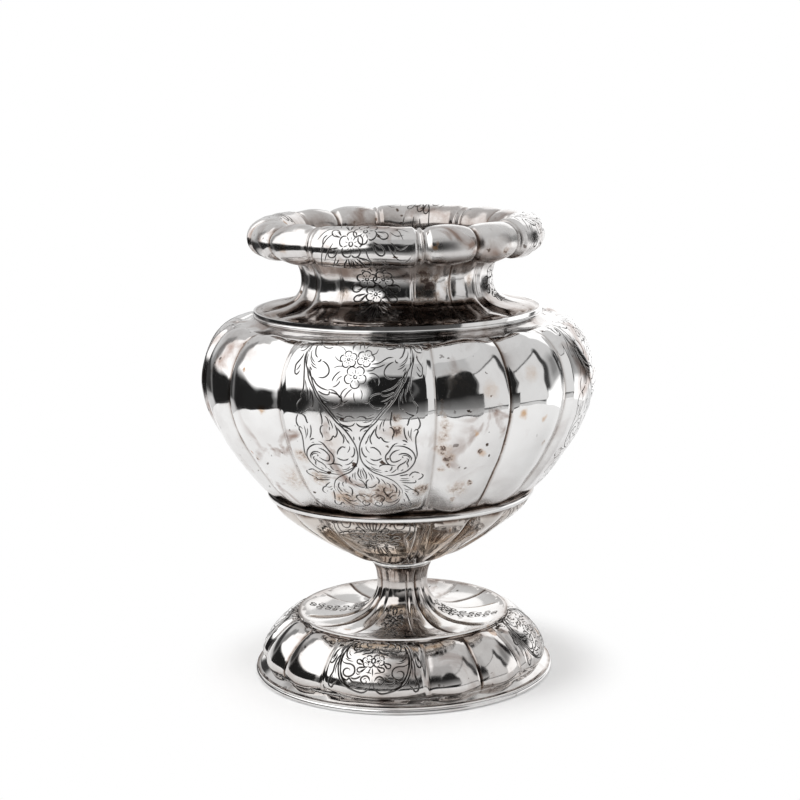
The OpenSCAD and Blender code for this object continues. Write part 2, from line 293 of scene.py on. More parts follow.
def bend(start, end, first, second, count=160):
    """A cubic curve from start to end, whose two bends are shares of the step."""
    start, end = np.array(start, float), np.array(end, float)
    s = np.linspace(0, 1, count)[:, None]
    a, b = start + np.array(first) * (end - start), start + np.array(second) * (end - start)
    return (1 - s) ** 3 * start + 3 * (1 - s) ** 2 * s * a + 3 * (1 - s) * s * s * b + s ** 3 * end


class Outline:
    """Half section of a sheet's outer face, from its lower end up, by its own length.
    The lobes rise square to it, on its right hand side, between two of its corners.
    Seams between lobes and the edges of the panels are low ridges or grooves, as height
    and width in mm. Shade is an amount of soiling and painted shade up the outline, haze
    one of dullness, dirt how far soiling and painted shade spread beside a
    border, and pinch draws in the panels' edges."""

    def __init__(self, parts, lobed, lift, reach, seam, edge, shade, haze, seed,
                 waves=0.04, dirt=0.6, pinch=0.0):
        self.shade, self.haze = np.array(shade, float).T, np.array(haze, float).T
        self.dirt, self.pinch = dirt, pinch
        parts = [np.array(part, float).reshape(-1, 2) for part in parts]
        line = np.vstack(parts)
        run = np.r_[0, np.cumsum(np.hypot(*np.diff(line, axis=0).T))]
        ends = np.cumsum([len(part) for part in parts]) - 1
        self.corners = run[ends]
        apart = np.r_[True, np.diff(run) > 1e-9]
        line, run = line[apart], run[apart]
        self.length = run[-1]
        self.even = np.linspace(0, self.length, int(self.length / 0.05) + 1)
        self.r, self.z = np.interp(self.even, run, line[:, 0]), np.interp(self.even, run, line[:, 1])
        dr, dz = np.gradient(self.r), np.gradient(self.z)
        self.nr, self.nz = dz / np.hypot(dr, dz), -dr / np.hypot(dr, dz)
        self.start, self.end = self.corners[lobed[0]], self.corners[lobed[1]]
        self.lift, self.reach, self.seam, self.edge = lift, reach, seam, edge
        # The hammer's slow waves are 6 to 34 mm long, and the longest are the tallest.
        draw = np.random.default_rng(seed)
        size = draw.uniform(6, 34, 14)
        way = draw.uniform(0, 2 * np.pi, 14)
        mean_r = self.r.mean()
        self.waves = np.stack([
            waves * (size / 34) ** 1.3, np.round(2 * np.pi * mean_r * np.cos(way) / size),
            2 * np.pi * np.sin(way) / size, draw.uniform(0, 2 * np.pi, 14)])

    def rows(self, space):
        """Rows up the outline at even steps, closer at both ends of the lobes, and
        three at each corner so that it has a narrow rounded edge."""
        span = self.end - self.start
        ease = 1 - np.cos(np.linspace(0, np.pi / 2, 6)[1:])
        low, high = self.start + span * self.reach[0] * ease, self.end - span * self.reach[1] * ease
        close = np.r_[0, self.length, self.start, self.end, low, high]
        corner = self.corners[(self.corners > 0.4) & (self.corners < self.length - 0.4)]
        close = np.unique(np.r_[close, corner, corner - 0.2, corner + 0.2].round(4))
        even = np.arange(space, self.length - space / 2, space)
        far = np.abs(even[:, None] - close).min(1) > space * 0.4
        return np.unique(np.r_[close, even[far].round(4)])

    def points(self, middle, half, share, run, depth):
        """Points of the sheet: the outline at this length, turned to the angle, and
        moved square to itself by the lobe's height, less the depth. A lobe is one less
        the square of the share of its half width; a panel is flat with sloping sides.
        Both start from a round end. Slow waves from the hammer lie over the whole."""
        angle = np.radians((middle + share * half) % 360)
        r, z = np.interp(run, self.even, self.r), np.interp(run, self.even, self.z)
        nr, nz = np.interp(run, self.even, self.nr), np.interp(run, self.even, self.nz)
        off = 1 - np.abs(share)
        # A panel's side slopes over 12% of its half width, with a soft shoulder.
        slope = off / 0.12
        bent = np.where(slope < 0.7, slope, np.where(slope < 1.3, 1 - (1.3 - slope) ** 2 / 1.2, 1))
        rise = bent if half == panel_half else 1 - share ** 2
        u = (run - self.start) / (self.end - self.start)
        x = np.clip(u / self.reach[0] - 0.5 * share ** 2, 0, 1)
        y = np.clip((1 - u) / self.reach[1] - 0.5 * share ** 2, 0, 1)
        ends = np.minimum(np.sqrt(1 - (1 - x) ** 2), np.sqrt(1 - (1 - y) ** 2))
        away = off * np.radians(half) * r
        border = middle + np.sign(share) * half
        at_panel = np.abs(np.abs(border % quarter - quarter / 2) - panel_half) < 1
        height = np.where(at_panel, self.edge[0], self.seam[0])
        width = np.where(at_panel, self.edge[1], self.seam[1])
        fade = np.clip(np.minimum(u, 1 - u) * 12, 0, 1)
        # Each border is pinched by its own amount.
        uneven = 0.55 + 0.45 * np.sin(np.radians(5 * border + 67.5))
        drawn_in = self.pinch * uneven * np.exp(-((away - 1.8) / 1.1) ** 2) * at_panel
        lift = self.lift * rise * ends + (height * np.exp(-(away / width) ** 2) - drawn_in) * fade
        tall, about, along, phase = self.waves[:, :, None]
        wave = tall * np.sin(about * angle.ravel() + along * run.ravel() + phase)
        wave = wave.sum(0).reshape(run.shape)
        lift = lift + wave * np.clip(np.minimum(run, self.length - run) / 4, 0, 1) - depth
        from_axis = r + lift * nr
        return np.stack([from_axis * np.cos(angle), from_axis * np.sin(angle), z + lift * nz], -1)

    def facing(self, middle, half, share, run):
        """Directions square to the sheet, from the steps between points 0.1 mm to
        either side of each place, taken on this lobe or panel alone."""
        step = 0.1 / (np.radians(half) * np.interp(run, self.even, self.r))
        left, right = np.clip(share - step, -1, 1), np.clip(share + step, -1, 1)
        low, high = np.clip(run - 0.1, 0, self.length), np.clip(run + 0.1, 0, self.length)
        across = self.points(middle, half, right, run, 0) - self.points(middle, half, left, run, 0)
        up = self.points(middle, half, share, high, 0) - self.points(middle, half, share, low, 0)
        square = np.cross(across, up)
        return square / np.linalg.norm(square, axis=-1, keepdims=True)


def grid_faces(rows, columns):
    """Two triangles for each cell of a grid whose points are numbered row by row."""
    i, k = np.meshgrid(np.arange(rows - 1), np.arange(columns - 1), indexing="ij")
    a = (i * columns + k).ravel()
    low, high = np.stack([a, a + 1, a + columns], -1), np.stack([a + 1, a + columns + 1, a + columns], -1)
    return np.concatenate([low, high])


def engraved_panel(outline, rows, strokes):
    """Flat map of one panel with its engraving: x is the share of the half width, y
    the length up the outline. Each stroke is a polyline in mm with a width at each
    point. Its two edges and its middle are kept as lines of the mesh, and the middle
    is cut down like a V. The depth anywhere comes from a fine raster on which every
    stroke has been stamped, so crossing strokes meet cleanly."""
    wide = np.radians(panel_half) * outline.r.max()
    half_mm = lambda y: np.radians(panel_half) * np.interp(y, outline.even, outline.r)
    cell = 0.07
    raster = np.zeros((int(outline.length / cell) + 20, int(2 * wide / cell) + 41))
    columns_mid = raster.shape[1] // 2
    grid_x, grid_y = np.meshgrid(panel_columns, rows)
    grid = np.stack([grid_x.ravel(), grid_y.ravel()], -1)
    verts, edges, close = [], [], []
    top = len(grid)
    stencil = np.stack(np.meshgrid(np.arange(-5, 6), np.arange(-5, 6)), -1).reshape(-1, 2)
    for line, width in strokes:
        step = np.gradient(line, axis=0)
        step /= np.maximum(np.hypot(*step.T), 1e-9)[:, None]
        side = np.stack([-step[:, 1], step[:, 0]], -1) * width[:, None] / 2
        for points in (line - side, line, line + side):
            share = np.stack([points[:, 0] / half_mm(points[:, 1]), points[:, 1]], -1)
            share = np.clip(share, [-0.985, rows[0] + 0.3], [0.985, rows[-1] - 0.3])
            verts.append(share)
            number = top + np.arange(len(share))
            edges.append(np.stack([number[:-1], number[1:]], -1))
            top += len(share)
        run = np.r_[0, np.cumsum(np.hypot(*np.diff(line, axis=0).T))]
        fine = np.arange(0, run[-1], cell)
        sample = np.stack([np.interp(fine, run, line[:, 0]), np.interp(fine, run, line[:, 1])], -1)
        close.append(np.column_stack([sample, np.interp(fine, run, width)]))
    close = np.concatenate(close)
    middle = np.round(close[:, :2] / cell).astype(int)
    at = middle[:, None] + stencil
    gap = np.linalg.norm(at * cell - close[:, None, :2], axis=-1)
    # A cut is 0.45 of its width deep, and grid points within 0.25 mm make way for it.
    deep = close[:, None, 2] * 0.45 * np.clip(1 - gap / (close[:, None, 2] / 2), 0, 1)
    row = np.clip(at[..., 1], 0, raster.shape[0] - 1)
    column = np.clip(at[..., 0] + columns_mid, 0, raster.shape[1] - 1)
    np.maximum.at(raster, (row.ravel(), column.ravel()), deep.ravel())
    near = np.zeros(raster.shape, bool)
    near[row.ravel(), column.ravel()] = gap.ravel() < close[:, 2].max() / 2 + 0.25
    x = (grid[:, 0] * half_mm(grid[:, 1]) / cell).round().astype(int) + columns_mid
    x = np.clip(x, 0, raster.shape[1] - 1)
    y = np.clip((grid[:, 1] / cell).round().astype(int), 0, raster.shape[0] - 1)
    border = (np.abs(grid[:, 0]) == 1) | (grid[:, 1] == rows[0]) | (grid[:, 1] == rows[-1])
    keep = border | ~near[y, x]
    index = (np.cumsum(keep) - 1).reshape(len(rows), len(panel_columns))
    rim = [np.stack([side[:-1], side[1:]], -1) for side in (index[0], index[-1], index[:, 0], index[:, -1])]
    all_edges = [pair - len(grid) + keep.sum() for pair in edges] + rim
    flat = np.concatenate([grid[keep]] + verts) * [wide, 1]
    out = delaunay_2d_cdt([Vector(p) for p in flat], np.concatenate(all_edges).tolist(), [], 0, 1e-5)
    place = np.array([tuple(p) for p in out[0]]) / [wide, 1]
    faces = np.array(out[2])
    share, run = place[:, 0], place[:, 1]
    share = np.where(np.abs(share) > 0.9999, np.sign(share), share)
    run = np.where(run < rows[0] + 1e-3, rows[0], np.where(run > rows[-1] - 1e-3, rows[-1], run))
    nearest = lambda value, options: options[np.abs(value[:, None] - options).argmin(1)]
    share = np.where((run == rows[0]) | (run == rows[-1]), nearest(share, panel_columns), share)
    run = np.where(np.abs(share) == 1, nearest(run, rows), run)

    def deep_at(share, run):
        x, y = share * half_mm(run) / cell + columns_mid, run / cell
        x0, y0 = np.floor(x).astype(int), np.floor(y).astype(int)
        fx, fy = x - x0, y - y0
        return ((raster[y0, x0] * (1 - fx) + raster[y0, x0 + 1] * fx) * (1 - fy)
                + (raster[y0 + 1, x0] * (1 - fx) + raster[y0 + 1, x0 + 1] * fx) * fy)

    corner = np.stack([share, run], -1)[faces] * [wide, 1]
    turn = np.cross(corner[:, 1] - corner[:, 0], corner[:, 2] - corner[:, 0])
    faces = np.where(turn[:, None] < 0, faces[:, ::-1], faces)[np.abs(turn) > 1e-9]
    sunk = deep_at(share[faces].mean(1), run[faces].mean(1)) > 0.03
    touched = np.zeros(len(share), bool)
    touched[faces[sunk].ravel()] = True
    border = (np.abs(share) == 1) | (run == rows[0]) | (run == rows[-1])
    return share, run, np.where(touched & ~border, deep_at(share, run), 0), faces, sunk


def raised_sheet(name, replaced, outline, material, strokes, floor=False):
    """A lobed sheet of metal as one closed mesh: outer face, inner face at the depth of
    the sheet, and the strips that join them at both ends, or a flat floor at the lower
    end. The engraved map is used for all four panels. Corner directions come from the
    sheet's own shape, except in the cuts, whose sides are flat."""
    rows = outline.rows(row_space)
    sparse = np.unique(np.r_[rows[::2], rows[0], rows[-1]])
    panel = engraved_panel(outline, rows, strokes)
    pieces = []

    def keep(points, faces, looks=None, sunk=None, cut=0, grime_and_shade=0, haze=0):
        """Adds faces with a direction and three amounts for each corner. A face looks
        square to itself where it is sunk, or where no directions are given."""
        first, second, third = (points[faces[:, corner]] for corner in range(3))
        flat = np.cross(second - first, third - first)
        flat /= np.maximum(np.linalg.norm(flat, axis=1), 1e-12)[:, None]
        flat = np.repeat(flat[:, None], 3, 1)
        if looks is not None:
            sunk = np.zeros(len(faces), bool) if sunk is None else sunk
            flat = np.where(sunk[:, None, None], flat, looks[faces])
        top = sum(len(piece[0]) for piece in pieces)
        amounts = [np.broadcast_to(amount, faces.shape) for amount in (cut, grime_and_shade, haze)]
        pieces.append((points, faces + top, flat, *amounts))

    def face(middle, half, share, run, depth, faces, sunk=None, back=0.0):
        """One panel or lobe of the outer face, or of the inner face at a depth."""
        points = outline.points(middle, half, share, run, depth + back)
        looks = outline.facing(middle, half, share, run)
        away = (1 - np.abs(share)) * np.radians(half) * np.interp(run, outline.even, outline.r)
        lobed = (run > outline.start) & (run < outline.end)
        # Soiling and painted shade lie by the seams, most of them between two lobes, and at both
        # ends of the sheet; the outline's shade adds more of both up its length.
        border = (half == panel_half) | (share * ((middle + 90) % quarter - 45) > 0)
        grime_and_shade = np.where(border, 0.35, 0.85) * np.exp(-(away / outline.dirt) ** 2) * lobed
        grime_and_shade = np.maximum(grime_and_shade, 0.8 * np.exp(-(np.minimum(run, outline.length - run) / 0.9) ** 2))
        grime_and_shade = np.maximum(grime_and_shade, np.interp(run / outline.length, *outline.shade))
        haze = np.interp(run / outline.length, *outline.haze)
        if back:
            faces, looks, grime_and_shade = faces[:, ::-1], -looks, grime_and_shade * 0
        cut = 0 if sunk is None else sunk[:, None] * (0.35 + np.clip(depth[faces] / 0.1, 0, 1) * 0.65)
        keep(points, faces, looks, sunk, cut, grime_and_shade[faces], haze[faces])

    for first in range(0, len(fields), 3):
        face(fields[first][0], panel_half, *panel)
        for middle, half, columns in fields[first:first + 3]:
            back_only = half == panel_half
            for piece, back in ((sparse, sheet_t),) if back_only else ((rows, 0.0), (sparse, sheet_t)):
                x, y = np.meshgrid(columns, piece)
                face(middle, half, x.ravel(), y.ravel(), 0, grid_faces(len(piece), len(columns)), back=back)
        for middle, half, columns in fields[first:first + 3]:
            for end in ((rows[-1],) if floor else (rows[0], rows[-1])):
                level = np.full(len(columns), end)
                both = [outline.points(middle, half, columns, level, depth) for depth in (0, sheet_t)]
                strip = grid_faces(2, len(columns))
                keep(np.concatenate(both), strip[:, ::-1] if end == rows[0] else strip)
    for depth, up in ((0, -1), (sheet_t, 1)) if floor else ():
        ring = np.concatenate([
            outline.points(middle, half, columns[:-1], np.full(len(columns) - 1, rows[0]), depth)
            for middle, half, columns in fields])
        k = np.arange(len(ring))
        fan = np.stack([k, np.full(len(k), len(k)), (k + 1) % len(k)], -1)
        points = np.vstack([ring, ring.mean(0) * [0, 0, 1]])
        keep(points, fan[:, ::-1] if depth else fan, np.broadcast_to([0, 0, up], points.shape))
    points, corners, facing, cut, grime_and_shade, haze = (np.concatenate(part) for part in zip(*pieces))
    _, kept, number = np.unique(points.round(6) + 0.0, axis=0, return_index=True, return_inverse=True)
    corners = number.reshape(-1)[corners]
    whole = (corners != np.roll(corners, 1, 1)).all(1)
    put(name, replaced, points[kept], corners[whole], facing[whole], material,
        {"cut": cut[whole], "grime_and_shade": grime_and_shade[whole], "haze": haze[whole]})


def stroke(points, width=0.5, space=0.85, fade=(0.25, 0.25)):
    """A cut line: a smooth curve through its points, taken at even steps, that gets
    narrow over a share of its length at each end."""
    p = np.array(points, float)
    if len(p) > 2:
        q = np.vstack([2 * p[0] - p[1], p, 2 * p[-1] - p[-2]])
        s = np.linspace(0, 1, 9)[:-1, None]
        a, b, c, d = q[:-3, None], q[1:-2, None], q[2:-1, None], q[3:, None]
        curve = (2 * b + (c - a) * s + (2 * a - 5 * b + 4 * c - d) * s ** 2
                 + (3 * b - a - 3 * c + d) * s ** 3)
        p = np.vstack([(0.5 * curve).reshape(-1, 2), p[-1:]])
    run = np.r_[0, np.cumsum(np.hypot(*np.diff(p, axis=0).T))]
    even = np.linspace(0, run[-1], max(3, int(run[-1] / space) + 2))
    line = np.stack([np.interp(even, run, p[:, 0]), np.interp(even, run, p[:, 1])], -1)
    u = even / run[-1]
    narrow = np.minimum(np.clip(u / fade[0], 0, 1), np.clip((1 - u) / fade[1], 0, 1))
    return line, width * (0.12 + 0.88 * np.sin(narrow * np.pi / 2))


def curl(x, y, start, radius, turns, tight=0.2, width=0.5):
    """A spiral about a point, from a start angle in degrees and the outer radius in
    to a share of it. Turns to the right are negative."""
    s = np.linspace(0, 1, int(abs(turns) * 14) + 4)
    angle = np.radians(start + turns * 360 * s)
    r = radius * (1 - (1 - tight) * s ** 0.8)
    return stroke(np.stack([x + r * np.cos(angle), y + r * np.sin(angle)], -1), width, fade=(0.1, 0.3))


def blossom(x, y, radius, start, width):
    """A flower seen from the front: five rounded petals whose outlines meet in notches,
    a ring for its eye, and short marks from the eye into each petal."""
    def at(angle, share):
        return np.stack([x + radius * share * np.cos(angle), y + radius * share * np.sin(angle)], -1)

    half = np.pi / 5
    cuts = []
    for middle in np.radians(start + np.arange(5) * 72):
        s = np.linspace(-1, 1, 9)
        petal = at(middle + half * s * 0.98, 0.66 + 0.34 * np.cos(s * np.pi / 2) ** 0.55)
        cuts.append(stroke(petal, width, fade=(0.12, 0.12)))
        cuts.append(stroke(at(middle + half, np.array([0.68, 0.45, 0.25])), width * 0.8, fade=(0.1, 0.5)))
        cuts.append(stroke(at(middle, np.array([0.26, 0.4, 0.55])), width * 0.6, fade=(0.1, 0.6)))
    cuts.append(curl(x, y, start, radius * 0.17, 1.05, tight=0.95, width=width))
    return cuts


def mirrored(cuts):
    """The same cuts and their mirror image across the panel's middle."""
    return cuts + [(line * [-1, 1], width) for line, width in cuts]


def tongue(root, tip, wide, width):
    """A round-ended leaf that hangs from its stalk: an outline open at the root and
    two veins that run from the root towards its round end."""
    root, tip = np.array(root, float), np.array(tip, float)
    ahead = tip - root
    across = np.array([-ahead[1], ahead[0]]) / np.hypot(*ahead) * wide / 2
    side = [(0.05, 0.35), (0.3, 0.62), (0.55, 1.0), (0.8, 0.95), (0.97, 0.45)]
    edge = side + [(1.0, 0.0)] + [(u, -v) for u, v in side[::-1]]
    cuts = [stroke([root + ahead * u + across * v for u, v in edge], width, fade=(0.2, 0.2))]
    for k in (-0.5, 0.5):
        vein = [root + ahead * u + across * k * v for u, v in ((0.0, 0.2), (0.35, 0.9), (0.72, 1.1))]
        cuts.append(stroke(vein, width * 0.6, fade=(0.15, 0.5)))
    return cuts


def draw(cuts, points_at, lines, width, fade=(0.2, 0.2)):
    """Adds a cut line for each list of places on the panel."""
    for line in lines:
        cuts.append(stroke(points_at(line), width, fade=fade))


def sprig(points_at, flowers, leaves, stems, radius, width):
    """A bunch of flowers: blossoms, round-ended leaves and stems, by their places."""
    at = lambda share, y: points_at([(share, y)])[0]
    cuts = []
    for k, (share, y) in enumerate(flowers):
        cuts += blossom(*at(share, y), radius, start=90 + 25 * k, width=width)
    for root, tip, wide in leaves:
        cuts += tongue(at(*root), at(*tip), wide, width)
    draw(cuts, points_at, stems, width * 0.85, fade=(0.15, 0.5))
    return cuts


def on_panel(outline):
    """Places on a panel given as the share of its half width there and the length in
    mm above the foot of the lobes, as mm across and up the flat map."""
    def places(line):
        line = np.array(line, float)
        run = line[:, 1] + outline.start
        across = line[:, 0] * np.radians(panel_half) * np.interp(run, outline.even, outline.r)
        return np.stack([across, run], -1)
    return places


foot_silver = silver("foot silver", engraved=True, tarnish=0.6, stains=0.9, spots=0.6, polish=0.03,
                     warm=0.06)

dome = Outline(
    [[(69.2, 3.2)], [(67.4, 3.2)], [(63.8, 5.3)],
     bend((63.8, 5.3), (48.7, 26.3), (-0.24, 0.17), (0.25, 0.73))[1:], [(48.7, 27.5)]],
    lobed=(2, 3), lift=2.0, reach=(0.2, 0.2), seam=(-0.4, 0.7), edge=(0.3, 0.5), seed=3, dirt=0.8,
    # Shade: soiling and painted shade at the flange, in the cove and at the top under the dish.
    shade=((0, 0.3), (0.06, 0.05), (0.17, 0.05), (0.2, 0.4), (0.27, 0.12), (0.85, 0.06), (1, 0.6)),
    haze=((0, 0.1), (1, 0)))


def dome_cuts(points_at):
    """The panel's frame scroll with its curls and leaves, mirrored, and a sprig."""
    half = []
    draw(half, points_at, [
        # frame scroll, from the foot of the middle out and over to the top curl
        [(.01, 8.8), (.03, 6), (.09, 4.2), (.18, 3.4), (.33, 4.1), (.47, 5.4), (.59, 7.6), (.66, 11),
         (.7, 14.8), (.71, 19.2), (.68, 22.3), (.62, 24.8), (.52, 26.7), (.38, 27.6), (.23, 27.8),
         (.11, 27.3), (.03, 26.1)],
        [(.24, 5.5), (.37, 5.2), (.49, 6.4), (.58, 9), (.63, 12.4), (.655, 16), (.65, 19.2), (.61, 22.3)],
        # curls under the top edge
        [(.03, 25.2), (.06, 26.2), (.13, 26.7), (.21, 26.2), (.24, 25.1), (.21, 24.1), (.15, 23.7),
         (.09, 24.2)],
        [(.25, 26.3), (.33, 26.2), (.375, 25.4), (.39, 23.9), (.35, 22.8), (.3, 23)],
        [(.28, 27), (.4, 26.7), (.48, 25.4), (.51, 23.6), (.48, 21.7), (.42, 21), (.37, 22)],
        [(.54, 25.6), (.59, 23.6), (.61, 21.1), (.59, 18.6), (.53, 17), (.46, 17)],
        # volute at the side
        [(.65, 16.4), (.62, 15.2), (.54, 14.6), (.46, 14.6), (.38, 13.8), (.345, 12.2), (.35, 10.6),
         (.41, 9.4), (.49, 9.2), (.55, 10.2), (.55, 11.8), (.5, 12.6), (.44, 12.2), (.43, 11.2)],
        # leaves outside the frame
        [(.71, 19), (.75, 16), (.76, 12.9), (.755, 10.4), (.79, 8), (.81, 6.1), (.78, 4.3),
         (.735, 4.2), (.7, 5.6), (.65, 6.5), (.66, 8.4)],
        [(.77, 21.6), (.82, 19.8), (.85, 17.4), (.885, 15.6), (.87, 14), (.82, 14.2), (.79, 16.2),
         (.78, 18.6)],
        [(.62, 27.2), (.68, 28.1), (.76, 27.6), (.8, 26), (.77, 24.8), (.72, 25.2)],
        # curls at the foot
        [(.04, 7.8), (.06, 9.2), (.11, 10.1), (.17, 9.8), (.21, 8.6), (.18, 7.3), (.13, 6.7),
         (.1, 7.6), (.12, 8.5)],
        [(.2, 6.2), (.24, 7.2), (.31, 7), (.37, 7.4), (.42, 8.6), (.47, 7.6), (.56, 8.8)],
        [(.21, 10), (.28, 8.8), (.35, 8.5), (.4, 9)],
        [(.1, 22.4), (.17, 21.6), (.25, 22), (.32, 20.8), (.4, 20.4), (.46, 19.4)],
        [(.03, 22.8), (.07, 21.4), (.12, 20.4), (.2, 20.2), (.28, 19.2)],
    ], 0.84)
    draw(half, points_at, [
        [(.1, 5.4), (.2, 4.6), (.32, 4.8)], [(.42, 5.9), (.53, 8), (.6, 11)],
        [(.66, 13), (.68, 17), (.67, 20.4)], [(.56, 24.8), (.64, 21.6), (.66, 18.8)],
        [(.44, 26.2), (.52, 25), (.56, 22.8)], [(.3, 24.9), (.33, 24.2)],
        [(.43, 25), (.455, 23.2), (.43, 22)], [(.12, 25.6), (.17, 25.6), (.18, 24.8)],
        [(.56, 20.8), (.53, 19), (.47, 18.4)], [(.6, 17), (.5, 16), (.4, 15.8)],
        [(.71, 16), (.72, 12), (.7, 9)], [(.74, 9), (.76, 7), (.75, 5.4)],
        [(.81, 18.6), (.83, 16.6), (.84, 15.4)], [(.7, 23.6), (.73, 21.4), (.74, 19)],
        [(.68, 26.8), (.73, 26.4)], [(.1, 9), (.14, 9), (.16, 8.2)], [(.27, 6.2), (.36, 6.3), (.44, 7)],
        [(.02, 11), (.08, 11.6), (.14, 11.4)], [(.22, 11), (.28, 10.4), (.32, 11.4)],
        [(.05, 21), (.09, 19.8)], [(.2, 21), (.28, 20.6)], [(.62, 9), (.66, 10.6), (.68, 12.6)],
        [(.03, 24.4), (.02, 22.4), (.03, 20.6)], [(.55, 6.4), (.61, 8), (.64, 9.6)],
    ], 0.52, fade=(0.3, 0.4))
    leaves = [((-.2, 15), (-.34, 16.6), 2.0), ((.18, 16), (.31, 14), 2.0), ((-.14, 13.6), (-.3, 12), 2.0),
              ((.06, 14), (.2, 12.4), 2.0)]
    stems = [[(-.02, 13.6), (-.01, 11.6), (0, 10)], [(-.05, 13.6), (-.08, 12), (-.09, 10.6)]]
    return mirrored(half) + sprig(points_at, [(-.11, 16.4), (.07, 17)], leaves, stems, 2.9, width=0.72)


raised_sheet("foot_dome_chased", "foot_dome", dome, foot_silver, dome_cuts(on_panel(dome)))

# Dish and stem: one sheet of silver hollowed into a dish inside the foot's ridge and
# drawn up into a fluted stem. Its edge lies on the dome's turned up edge.
dish = Outline(
    [[(49.3, 28.2)], [(47.9, 28.2)], bend((47.9, 28.2), (33, 25.3), (0.35, 0.8), (0.7, 1))[1:],
     bend((33, 25.3), (11, 42.1), (0.62, -0.04), (1, 0.4))[1:],
     bend((11, 42.1), (13.8, 50.8), (0, 0.55), (0.45, 0.85))[1:]],
    lobed=(1, 4), lift=0.7, reach=(0.12, 0.1), seam=(-0.35, 0.7), edge=(-0.25, 0.6), seed=4, dirt=0.9,
    # Shade: soiling and painted shade at the dish's edge and up the stem to the collar.
    shade=((0, 0.4), (0.1, 0.08), (0.4, 0.08), (0.55, 0.25), (0.85, 0.34), (1, 0.75)),
    haze=((0, 0.2), (0.5, 0.2), (0.7, 0.05), (1, 0.1)))


def dish_cuts(points_at):
    """A sprig up the panel, whose leaves reach out to the dish's edge."""
    leaves = [((-.2, 29), (-.5, 31), 2.0), ((-.18, 25.4), (-.5, 24), 2.0), ((-.12, 22), (-.38, 18.6), 2.0),
              ((-.03, 16), (-.24, 15.4), 2.2), ((-.02, 13.4), (-.22, 11.4), 2.2),
              ((-.02, 9.4), (-.19, 7), 2.2), ((-.01, 6), (-.1, 3.2), 2.0)]
    stems = [[(-.06, 21), (-.14, 17), (-.2, 14)], [(-.3, 33), (-.45, 34.4), (-.58, 33)],
             [(-.24, 17), (-.33, 15.4), (-.36, 13)], [(-.22, 9.6), (-.3, 8.4), (-.32, 6.4)]]
    cuts = mirrored(sprig(points_at, [], leaves, stems, 2.6, width=0.8))
    return cuts + sprig(points_at, [(-.2, 27.6), (.22, 28), (0, 23.6)], [((0, 31), (0, 35), 1.8)],
                        [[(0, 20), (.02, 15), (-.02, 10), (0, 5)]], 2.9, width=0.8)


raised_sheet("dish_and_stem_chased", "foot_dish_and_stem", dish, foot_silver, dish_cuts(on_panel(dish)))

# Collar: plain half round ring of silver. It is turned smooth and soldered between the
# top of the stem and the floor of the bowl.
wire("stem_collar_turned", "stem_collar", half_round(9.5, 5.2, 50.8, 2.9), wire_silver, columns=144)

# Lower bowl: cup raised from silver sheet, with lobes, engraved panels and a flat closed
# floor, soldered on the collar. Its metal is pale with golden places.
golden_places = [
    ("Warm", -24, 45, 71, 15, 1.1), ("Warm", -6, 30, 62, 18, 1.3), ("Warm", 14, 38, 67, 11, 1.0),
    ("Warm", 33, 42, 70, 15, 1.1), ("Warm", 52, 28, 60, 10, 0.9), ("Warm", -50, 34, 63, 9, 0.9),
    ("Warm", 130, 40, 69, 15, 1.0), ("Warm", 200, 44, 70, 14, 1.0), ("Warm", 250, 34, 63, 13, 0.9)]
bowl_silver = silver("lower bowl silver", engraved=True, tarnish=0.4, stains=1.2, spots=0.5, polish=0.02,
                     aged=0.08, warm=0.3, marks=golden_places)
calyx = Outline(
    [[(14, 53.7)], bend((14, 53.7), (60.1, 84), (0.33, 0.2), (0.74, 0.61))[1:], [(60.1, 86)]],
    lobed=(0, 1), lift=1.9, reach=(0.25, 0.2), seam=(-1.4, 1.3), edge=(0.9, 0.8), waves=0.08, seed=5,
    # Shade: soiling and painted shade by the collar and, almost black, under the girdle wire.
    dirt=0.9, pinch=1.5, shade=((0, 0.4), (0.15, 0.1), (0.8, 0.03), (0.93, 0.15), (0.97, 0.95), (1, 0.95)),
    haze=((0, 0.05), (1, 0.05)))


def calyx_cuts(points_at):
    """Leaves and a fan of blades under the girdle, mirrored, and three blossoms."""
    leaves = [((-.28, 44), (-.52, 46.6), 3.0), ((-.26, 40), (-.48, 38), 3.0),
              ((-.14, 36), (-.32, 31.6), 2.4), ((-.14, 49), (-.3, 53), 2.6)]
    stems = [[(-.05, 35), (-.1, 29), (-.12, 24)], [(-.12, 34), (-.22, 29), (-.24, 26)],
             [(-.36, 49), (-.46, 51), (-.54, 50)], [(-.4, 42), (-.5, 42.4), (-.58, 40.6)]]
    half = sprig(points_at, [], leaves, stems, 4.2, width=0.85)
    draw(half, points_at, [
        [(-.02, 50.4), (-.03, 54), (-.03, 58.6)], [(-.04, 50.6), (-.09, 54.4), (-.12, 58.4)],
        [(-.06, 50.4), (-.15, 53.6), (-.22, 57.6)], [(-.08, 50), (-.2, 52.4), (-.31, 55.8)],
        [(-.5, 57.6), (-.42, 55), (-.46, 52.6), (-.56, 52), (-.62, 53.6), (-.58, 55)],
        [(-.66, 57.8), (-.72, 54), (-.7, 49), (-.62, 45)],
        [(-.78, 57), (-.82, 52), (-.78, 46), (-.7, 42)],
    ], 0.75)
    return mirrored(half) + sprig(points_at, [(-.15, 44.6), (.16, 45), (0, 38)], [],
                                  [[(0, 34), (0, 28), (0, 22)]], 4.2, width=0.85)


raised_sheet("lower_bowl_chased", "lower_bowl", calyx, bowl_silver, calyx_cuts(on_panel(calyx)), floor=True)
